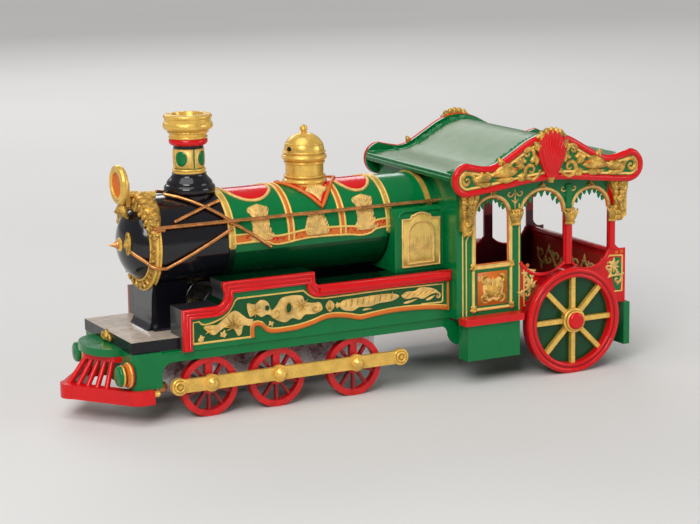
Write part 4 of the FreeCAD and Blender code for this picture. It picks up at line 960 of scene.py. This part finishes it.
def boiler_litho():
    """Orange bands with gold edges, red half-rounds, gold leaf domes and the lower border."""
    divisions = (-75.5, -41.2, -10.4, 18)
    low = 97
    for side in SIDES:
        surface = barrel(side)
        name = "boiler_%s_" % SIDE_NAME[side]
        for index, x in enumerate(divisions):
            half = 1.5
            columns = [(x - half, 0, low), (x + half, 0, low)]
            grid(name + "band_%d" % index, columns, surface, "orange", thick=0.3, rows=24,
                 flip=side < 0)
            edges = [[(x + offset, low * step / 24) for step in range(25)]
                     for offset in (-half, half)]
            tubes(name + "band_lines_%d" % index, on(surface, edges, 0.2), 0.62, "pale_gold")
        foot = smooth([(divisions[0], low - 4), (-58, low - 4), (-52, low + 1), (-46, low + 1.5),
                       (-30, low - 2.5), (-8, low - 1), (0, low + 1.5), (6, low), (10, low - 5),
                       (divisions[-1], low - 6)])
        columns = [(u, v - 10.5, v) for u, v in foot]
        grid(name + "border", columns, surface, "orange", thick=0.3, rows=4, flip=side < 0)
        rims = [[(u, bottom) for u, bottom, _ in columns], [(u, v) for u, _, v in columns]]
        tubes(name + "border_lines", on(surface, rims, 0.25), 0.62, "pale_gold")
        dots = []
        for index, (u, v) in enumerate(foot[2:-2]):
            dots += [leaf(u - 0.8, v - 5.2 + 3 * (index % 2), 2.2, 60 if index % 2 else -60, 30, 1.0),
                     leaf(u, v - 7.6, 1.6, 0, 90, 0.9)]
        for left, right in zip(divisions, divisions[1:]):
            middle = (left + right) / 2
            half = (right - left) / 2
            under_dome = abs(middle - DOME_X) < 12
            if not under_dome:
                columns = [(middle + share * (half - 3.4), 0, 37 * tall)
                           for share, tall in half_round()]
                grid(name + "rosette_%d" % round(-left), columns, surface, "red", thick=0.35,
                     rows=6, flip=side < 0)
                edge = [(u, v + 1.4) for u, _, v in columns]
                tubes(name + "rosette_line_%d" % round(-left), on(surface, [edge], 0.25), 0.9,
                      "litho_gold")
            if under_dome:
                top = 62
                waist = [(8.0, 0.0), (7.6, 0.2), (6.6, 0.45), (5.4, 0.7), (3.4, 0.9), (0.4, 1.0)]
            else:
                top = 45
                waist = [(8.0, 0.0), (7.2, 0.10), (5.6, 0.24), (5.0, 0.38), (5.3, 0.50), (4.4, 0.62),
                         (4.8, 0.70), (6.2, 0.79), (6.0, 0.89), (3.4, 0.97), (0.3, 1.0)]
            profile = smooth(waist)
            foot_angle = low - 5
            columns = [(foot_angle + (top - foot_angle) * share, middle - wide, middle + wide)
                       for wide, share in profile]

            def dome_leaf(angle, u, lift=0.0):
                """A point on the leaf dome, which swells by 0.9 mm along its middle."""
                near = min(columns, key=lambda column: abs(column[0] - angle))
                wide = max((near[2] - near[1]) / 2, 0.3)
                return surface(u, angle, lift + 0.9 * (1 - min(1, abs(u - middle) / wide) ** 2))

            grid(name + "urn_%d" % round(-left), columns, dome_leaf, "litho_gold", thick=0.3,
                 rows=8, flip=side > 0)
            veins = []
            for rank in range(6):
                share = 0.04 + rank * 0.15
                angle = foot_angle + (top - foot_angle) * share
                wide = profile[min(len(profile) - 1, int(share * len(profile)))][0]
                for way in SIDES:
                    for lean in (0.25, 0.75):
                        u = middle + way * wide * lean
                        veins.append([(angle, u, 0.4), (angle - 3, u + way * 0.6, 1.0),
                                      (angle - 6, u + way * 0.8, 0.4)])
            lines = [[(dome_leaf(angle, u, 0.3), share) for angle, u, share in vein]
                     for vein in veins]
            tubes(name + "urn_leaves_%d" % round(-left), lines, 0.5, "litho_gold")
        tubes(name + "border_dots", on(surface, dots, 0.1), 0.55, "red")


def dome_cloth():
    """Red field, orange edge and gold flame on the diamond, and the dome's rings and port."""
    low, high = span("dome_cloth", 0)
    half = (high - low) / 2
    reach = math.degrees(math.asin(span("dome_cloth", 1)[1] / (BOILER_R + 0.6))) - 1.5
    for side in SIDES:
        surface = barrel(side, BOILER_R + 0.6)
        edge = []
        for step in range(31):
            share = step / 30 * 2 - 1
            edge.append((DOME_X + share * (half - 1.2), reach * (1 - abs(share))))
        name = "cloth_%s_" % SIDE_NAME[side]
        columns = [(u, 0.0, max(v - 2.4, 0.2)) for u, v in edge[1:-1]]
        grid(name + "field", columns, surface, "red", thick=0.25, rows=14, flip=side < 0)
        tubes(name + "edge", on(surface, [edge], 0.2), 1.0, "orange")
        crest = []
        for index in range(7):
            share = index / 6 - 0.5
            crest.append([(DOME_X + share * 4, 24, 1.2), (DOME_X + share * 10, 33, 1.8),
                          (DOME_X + share * 4, 50 - abs(share) * 22, 0.4)])
        tubes(name + "crest", on(surface, crest, 0.2), 1.1, "litho_gold")
        sprays = []
        for way in SIDES:
            sprays += fan(DOME_X + way * 8.4, 26, 4.4, 90 + way * 20, 180, 5, 1.0)
        tubes(name + "sprays", on(surface, [[(u, 26 + (v - 26) * 2.2, s) for u, v, s in line]
                                            for line in sprays], 0.25), 0.55, "orange")
    rings = []
    for radius, height in ((11.7, 114.4), (11.0, 117.2), (10.8, 124.6), (11.9, 127.4), (11.3, 130.2),
                           (9.9, 134.6)):
        rings.append([((x, y, height), 1)
                      for x, y in arc(DOME_X, 0, radius, radius, range(0, 361, 8))])
    tubes("dome_rings", rings, 0.55, "gold")
    spot = Vector((DOME_X - 10.3, -3.6, 132.4))
    outward = Vector((-0.86, -0.32, 0.4)).normalized()
    tubes("dome_port", [[(spot, 1), (spot + outward * 0.9, 1)]], 1.2, "black", sides=6)


def chimney():
    """Gold panels with green ovals round the stack, and mouldings and beads on the cap."""
    surface = stack(8.0)
    lines = []
    first_panel = 222
    for index in range(4):
        middle = first_panel + index * 90
        low, high = 127.2, 137.4
        columns = [(middle + step * 5, low, high) for step in range(-8, 9)]
        grid("stack_panel_%d" % index, columns, surface, "pale_gold", thick=0.15, rows=2)
        ovals = [(middle - 5 + share * 27, 132.3 - 4.3 * tall, 132.3 + 4.3 * tall)
                 for share, tall in half_round()]
        grid("stack_oval_%d" % index, ovals, surface, "green", thick=0.2, rows=4, lift=0.12)
        rim = [(u, v) for u, v, _ in ovals] + [(u, v) for u, _, v in ovals[::-1]]
        lines.append(rim + [rim[0]])
        for way in SIDES:
            lines.append([(middle + way * 40, low), (middle + way * 40, high)])
    tubes("stack_lines", on(surface, lines, 0.2), 0.35, "litho_gold")
    rings = []
    for radius, height, share in ((8.4, 126.2, 0.9), (9.7, 143.4, 1.0), (10.4, 146.2, 0.8)):
        rings.append([((x, y, height), share)
                      for x, y in arc(STACK_X, 0, radius, radius, range(0, 361, 8))])
    tubes("cap_rings", rings, 0.75, "gold")
    beads = []
    for x, y in arc(STACK_X, 0, 12.7, 12.7, range(0, 360, 12)):
        beads.append([((x, y, 149.0), 0.4), ((x, y, 150.2), 1), ((x, y, 151.2), 0.4)])
    tubes("cap_beads", beads, 0.5, "gold")


def smokebox_front():
    """The ring's leaf canopy and lower leaves, the door's boss, spike and oval, and the straps."""
    reach_round = 78

    def front(radius, angle, out):
        a = math.radians(angle)
        return (RING_FRONT - out, radius * math.sin(a), AXIS_Z + radius * math.cos(a))

    def canopy(angle, share, lift=0.0):
        """A point on the canopy: share runs from its back edge (0) to its inner lobes (1)."""
        taper = math.cos(math.radians(angle * 90 / (reach_round + 8))) ** 0.7
        lobe = abs(math.cos(math.radians(angle * 10)))
        outer = 26.0 + 0.5 * lobe * taper
        inner = 24.0 - 6.4 * taper - 1.6 * lobe * taper
        if share < 0.4:
            part = share / 0.4
            radius = outer - 1.4 * (1 - part) ** 2
            out = -7.0 * taper - 1.0 + (7.4 * taper + 1.2) * part
        else:
            part = (share - 0.4) / 0.6
            radius = outer + (inner - outer) * part
            out = 0.2 + (2.2 + 0.8 * lobe) * math.sin(math.pi * min(1, part * 0.8 + 0.12)) * taper
        return front(radius + lift * 0.4, angle, out + lift)

    columns = [(angle, 0.0, 1.0) for angle in range(-reach_round, reach_round + 1, 2)]
    grid("ring_canopy", columns, canopy, "cast_gold", thick=0.5, rows=14, flip=True)
    leaves = []
    chance = random.Random(5)
    for index in range(-8, 9):
        angle = index * 9
        for row in range(4):
            start = 0.06 + row * 0.23
            turn = chance.uniform(-2, 2)
            line = []
            for step in range(5):
                share = start + 0.19 * step / 4
                swing = turn + (2.6 if row % 2 else -2.6) * step / 4
                line.append((canopy(angle + swing, share, 0.25),
                             0.3 + 0.9 * math.sin(math.pi * (step + 0.5) / 5)))
            leaves.append(line)
    tubes("ring_crest", leaves, 0.95, "cast_gold")
    lower = []
    for index in range(14):
        angle = 95 + index * 13
        lower.append([(front(20.4, angle, 0.2), 0.8), (front(22.3, angle + 3, 0.6), 1.5),
                      (front(24.4, angle + 5, 0.1), 0.7)])
    tubes("ring_leaves", lower, 0.8, "cast_gold")
    rims = [[(front(radius, a, out), 1) for a in range(0, 361, 6)]
            for radius, out in ((19.7, 0.2), (24.9, -1.6), (25.0, -3.4))]
    tubes("ring_rims", rims, 0.7, "gold")
    tip_x = span("smokebox_door", 0)[0]
    dome_x = tip_x + 5.8

    def door(radius, angle, height):
        return (dome_x - height, radius * math.cos(angle), AXIS_Z + radius * math.sin(angle))

    revolve("door_boss", [(0.01, 1.2), (2.2, 1.0), (3.4, 0.4), (3.9, -0.6), (4.4, -1.4)], door, "gold")
    revolve("door_spike", [(0.01, 6.3), (0.4, 5.2), (0.9, 3.6), (1.7, 2.2), (2.3, 1.6), (2.3, 0.8)],
            door, "copper")
    oval = [((dome_x + 1.5, y, z), 1) for y, z in arc(-8.8, AXIS_Z + 1.6, 2.3, 5.4, range(0, 361, 12))]
    tubes("door_oval", [oval, [((dome_x + 1.5, -8.8, AXIS_Z - 1.8), 1.4),
                               ((dome_x + 1.1, -8.8, AXIS_Z + 1.6), 2.6),
                               ((dome_x + 1.5, -8.8, AXIS_Z + 5.0), 1.4)]], 0.9, "cast_gold")
    straps = []
    for side in SIDES:
        over = barrel(side, BOILER_R + 1.6)
        straps.append([((dome_x + 0.6, side * 5.0, AXIS_Z + 0.4), 1),
                       ((dome_x + 1.7, side * 9.4, AXIS_Z - 1.6), 1),
                       ((dome_x + 3.6, side * 13.6, AXIS_Z - 4.0), 1),
                       ((dome_x + 7.0, side * 18.2, AXIS_Z - 6.8), 1),
                       (front(23.6, side * 112, 1.4), 1), (front(26.2, side * 113, -1.2), 1),
                       (over(-112.6, 114), 1)])
        straps.append([(over(-79.5, 62.0), 1), (over(-75.5, 67.0), 1), (over(-71, 73), 1)])
    tubes("door_straps", straps, 0.95, "copper")
    hinge = [[(front(25.4, side * 66, 0.8), 1), (front(26.2, side * 67, -6), 1)] for side in SIDES]
    tubes("rail_ends", hinge, 1.5, "copper", sides=4)


def lamp():
    """The lamp's orange reflector, its rounded rim and the leaves on its bracket."""
    low, high = span("headlamp", 0)
    bottom, top = span("headlamp", 2)
    centre = top - 10.5

    def point(radius, angle, height):
        return (low + height, radius * math.cos(angle), centre + radius * math.sin(angle))

    revolve("lamp_reflector", [(0.01, 2.4), (2.5, 2.3), (4.6, 2.0), (6.2, 1.3), (6.8, 0.9)], point,
            "orange")
    rims = [[(point(radius, math.radians(a), out), 1) for a in range(0, 361, 8)]
            for radius, out in ((7.4, 0.7), (9.3, 0.9))]
    tubes("lamp_rims", rims, 0.9, "gold")
    leaves = []
    for side in SIDES:
        for rank in range(3):
            y = side * (1.0 + rank * 1.3)
            z = 111.5 - rank * 1.4
            leaves.append([((low + 3, y, z), 0.5), ((low + 2.2, y * 1.4, z - 2.5), 1.4),
                           ((low + 4.5, y * 1.2, z - 5.0), 0.5)])
    tubes("lamp_leaves", leaves, 1.3, "cast_gold")


def firebox_panels():
    """The gold panel with a raised arched middle on each side of the firebox."""
    face = span("firebox_casing", 1)[1]
    for side in SIDES:
        surface = wall(side, face)
        name = "firebox_%s_" % SIDE_NAME[side]
        left, right, low, high = 22.6, 45.6, 66.4, 92.6
        outline = [(left, low), (right, low), (right, high), (40.4, high), (39.6, 94.4)]
        outline += arc(34, 93.6, 4.6, 2.2, range(30, 151, 20))
        outline += [(28.4, 94.4), (27.6, high), (left, high)]
        columns = []
        for step in range(25):
            u = left + (right - left) * step / 24
            top = high
            if 28 < u < 40:
                top = 93.8 + 2.2 * math.sin(math.pi * (u - 28) / 12)
            columns.append((u, low, top))
        grid(name + "panel", columns, surface, "pale_gold", thick=0.6, rows=4, flip=side > 0)
        edge = [outline + [outline[0]]]
        tubes(name + "panel_edge", on(surface, edge, 0.6), 0.6, "litho_gold")
        arch = [(26, 68), (42, 68), (42, 84)] + arc(34, 84, 8, 7.4, range(0, 181, 12))
        arch += [(26, 84), (26, 68)]
        tubes(name + "arch", on(surface, [arch], 0.6), 0.8, "litho_gold")
        rim = [(20.2, 65), (20.2, 93), (21.4, 95.8), (24, 97), (44, 97)]
        rim += [(46.6, 95.8), (47.6, 93), (47.6, 65)]
        tubes(name + "rim", on(surface, [rim], -0.1), 0.5, "green")
        streaks = []
        chance = random.Random(11)
        for step in range(22):
            u = 27.4 + step * 0.63
            streaks.append([(u, 69 + chance.uniform(0, 6), 0.3), (u + 0.3, 76, 1.0),
                            (u + chance.uniform(-0.5, 0.5), 83 + chance.uniform(0, 5), 0.4)])
        tubes(name + "streaks", on(surface, streaks, 0.55), 0.3, "litho_gold")


def front_end():
    """The nose's gold crest, buffer rings, the pilot's stays with copper drums, and green lips."""
    surface = facing(DECK_FRONT)
    crest = fan(0, 41, 4.6, 90, 280, 9, 1.6) + [curl(-4.4, 40.6, 2.0, 0, 1.2, 1),
                                                curl(4.4, 40.6, 2.0, 180, 1.2, -1)]
    tubes("nose_crest", on(surface, crest, 0.6), 1.1, "cast_gold")
    buffer_y = 31.4
    buffer_z = 27
    head_x = span("buffers", 0)[0]
    rings = []
    for side in SIDES:
        for radius, x in ((6.2, head_x + 6.9), (5.2, head_x + 3.4)):
            circle = arc(side * buffer_y, buffer_z, radius, radius, range(0, 361, 15))
            rings.append([((x, y, z), 1) for y, z in circle])
    tubes("buffer_rings", rings, 0.6, "gold")
    foot = span("pilot", 0)[1]
    stays = [[((foot - 2, side * 36.6, 16.5), 0.9), ((foot + 2.6, side * 36.6, 16.5), 1.0),
              ((foot + 3.4, side * 36.6, 16.5), 0.7)] for side in SIDES]
    tubes("pilot_stays", stays, 1.7, "gold", sides=4)
    drums = [[((foot + reach, side * 30.6, 18.2), share)
              for reach, share in ((4.4, 0.7), (5.2, 1.0), (8.6, 1.0), (9.4, 0.7))]
             for side in SIDES]
    tubes("stay_drums", drums, 2.8, "copper", sides=6)
    lip = []
    for side in SIDES:
        lip.append([((x, side * 35.8, 37.0), 1) for x in (-121, 48)])
    tubes("board_lip", lip, 0.5, "green")


def rod_ends():
    """Gold rings and round heads on the eyes at both ends of the coupling rods."""
    for side in SIDES:
        name = SIDE_NAME[side]
        low, high = span("coupling_rod_" + name, 0)
        z_low, z_high = span("coupling_rod_" + name, 2)
        height = (z_low + z_high) / 2
        ends = []
        for x in (low + 4.6, high - 4.6):
            for radius, out in ((3.9, 0.1), (2.5, 0.5)):
                circle = arc(x, height, radius, radius, range(0, 361, 20))
                ends.append([((u, side * (ROD_FACE + out), v), 1) for u, v in circle])
            ends.append([((x, side * (ROD_FACE - 0.6), height), 2.6),
                         ((x, side * (ROD_FACE + 0.9), height), 1.6)])
        tubes("rod_eyes_" + name, ends, 0.7, "gold", body=name + "_coupling_rod", sides=3)


def pin_heads():
    """A domed gold head on each crankpin; the right cranks are a quarter turn from the left."""
    pins = {"front": "front_wheelset", "middle": "middle_wheelset", "back": "back_wheelset"}
    face = span("middle_driving_wheels", 1)[1]
    for name, body in pins.items():
        x = sum(span(name + "_axle", 0)) / 2
        for side in SIDES:
            pin_x = x + (2.6 if side > 0 else 0.0)
            pin_z = DRIVER_R + (2.6 if side < 0 else 0.0)

            def point(radius, angle, height):
                return (pin_x + side * radius * math.cos(angle), side * (face - 0.1 + height),
                        pin_z + radius * math.sin(angle))

            revolve("pin_head_%s_%s" % (name, SIDE_NAME[side]),
                    [(3.4, 0.0), (3.2, 0.5), (2.2, 0.8), (1.9, 1.4), (1.1, 1.7), (0.01, 1.8)][::-1],
                    point, "gold", body, 20)


def trailing_trim():
    """Raised red rings on the tyres and gold rings on the hubs of the big wheels."""
    face = span("trailing_wheels", 1)[1]
    for side in SIDES:
        name = SIDE_NAME[side]
        rings = [[((x, side * (face - 0.5), z), share)
                  for x, z in arc(TRAILING_X, TRAILING_R, radius, radius, range(0, 361, 5))]
                 for radius, share in ((25.6, 1.0), (28.4, 1.3))]
        tubes("tyre_rings_" + name, rings, 1.0, "red", "trailing_wheelset")
        hub = [[((x, side * (face - out), z), share)
                for x, z in arc(TRAILING_X, TRAILING_R, radius, radius, range(0, 361, 8))]
               for radius, out, share in ((6.2, 0.2, 1.2), (5.0, -1.2, 0.9))]
        tubes("hub_rings_" + name, hub, 0.8, "gold", "trailing_wheelset")


def cab_inside():
    """Gold scrolls on both faces of the parapet."""
    low, high = span("cab_parapet", 0)
    middle = (low + high) / 2
    for x, name in ((middle - 0.9, "front"), (middle + 0.9, "back")):
        lines = []
        for line in vine((-36, 50), (-2, 50), 12, 4) + vine((2, 50), (36, 50), 12, 4):
            lines.append([((x, u, v), share) for u, v, share in line])
        tubes("parapet_scrolls_" + name, lines, 0.8, "litho_gold")


def back_end():
    """A gold line round the rear beam's face."""
    face = span("rear_beam", 0)[1]
    half = span("rear_beam", 1)[1] - 3
    low, high = span("rear_beam", 2)
    line = [((face, y, z), 1) for y, z in ((-half, low + 3), (half, low + 3), (half, high - 3),
                                           (-half, high - 3))]
    tubes("rear_beam_line", [line], 0.5, "pale_gold", closed=True)


for build in (gables, roof_trim, cab_sides, capitals, corner_figures, tanks, boiler_litho,
              dome_cloth, chimney, smokebox_front, lamp, firebox_panels, front_end, rod_ends,
              pin_heads, trailing_trim, cab_inside, back_end):
    build()


# ------------------------------------------------------------------ floor, lights and camera
def stage():
    """A pale paper floor."""
    mesh = bpy.data.meshes.new("floor")
    reach = 12.0
    mesh.from_pydata([(-reach, -reach, 0), (reach, -reach, 0), (reach, reach, 0),
                      (-reach, reach, 0)], [], [(0, 1, 2, 3)])
    floor = bpy.data.objects.new("floor", mesh)
    shader = Shader("floor_paper")
    tone = shader.mix(shader.noise(3, 2), (0.72, 0.71, 0.69), (0.66, 0.65, 0.63))
    shader.link(tone, shader.principled.inputs["Base Color"])
    shader.principled.inputs["Roughness"].default_value = 0.7
    mesh.materials.append(shader.material)
    bpy.context.scene.collection.objects.link(floor)


def area_light(name, place, target, size, power):
    """A rectangular lamp that looks at a target; places are in metres."""
    data = bpy.data.lights.new(name, "AREA")
    data.shape = "RECTANGLE"
    data.size, data.size_y = size
    data.energy = power
    obj = bpy.data.objects.new(name, data)
    obj.location = place
    direction = Vector(target) - Vector(place)
    obj.rotation_euler = direction.to_track_quat("-Z", "Y").to_euler()
    bpy.context.scene.collection.objects.link(obj)


def studio():
    """Key, fill and back lamps, a soft sun from above and a dim, even sky."""
    area_light("key", (-1.0, -1.1, 1.1), (0, 0, 0.07), (0.8, 0.6), 14)
    area_light("fill", (1.3, -1.0, 0.5), (0, 0, 0.07), (0.8, 0.6), 5)
    area_light("back", (0.3, 1.7, 1.0), (0, 0, 0.08), (1.6, 0.5), 9)
    sun = bpy.data.lights.new("skylight", "SUN")
    sun.energy = 1.3
    sun.angle = math.radians(50)
    obj = bpy.data.objects.new("skylight", sun)
    obj.rotation_euler = (math.radians(12), math.radians(-18), 0)
    bpy.context.scene.collection.objects.link(obj)
    world = bpy.data.worlds.new("studio")
    world.use_nodes = True
    background = world.node_tree.nodes["Background"]
    background.inputs["Color"].default_value = (0.9, 0.9, 0.92, 1)
    background.inputs["Strength"].default_value = 0.3
    bpy.context.scene.world = world
    bpy.context.scene.view_settings.view_transform = "Standard"


def camera():
    """A long lens from ahead of the left side, a little above, level to within a degree."""
    yaw = math.radians(27.04)
    pitch = math.radians(11.16)
    roll = math.radians(-0.86)
    place = (-0.52236, -1.03495, 0.29537)
    view = Vector((math.sin(yaw) * math.cos(pitch), math.cos(yaw) * math.cos(pitch),
                   -math.sin(pitch)))
    right = view.cross(Vector((0, 0, 1))).normalized()
    up = right.cross(view)
    rolled_right = right * math.cos(roll) + up * math.sin(roll)
    rolled_up = up * math.cos(roll) - right * math.sin(roll)
    data = bpy.data.cameras.new("camera")
    data.lens = 110
    data.sensor_width = 36
    data.clip_start = 0.05
    obj = bpy.data.objects.new("camera", data)
    matrix = obj.matrix_world.copy()
    for row in range(3):
        matrix[row][0] = rolled_right[row]
        matrix[row][1] = rolled_up[row]
        matrix[row][2] = -view[row]
        matrix[row][3] = place[row]
    obj.matrix_world = matrix
    bpy.context.scene.collection.objects.link(obj)
    bpy.context.scene.camera = obj


stage()
studio()
camera()
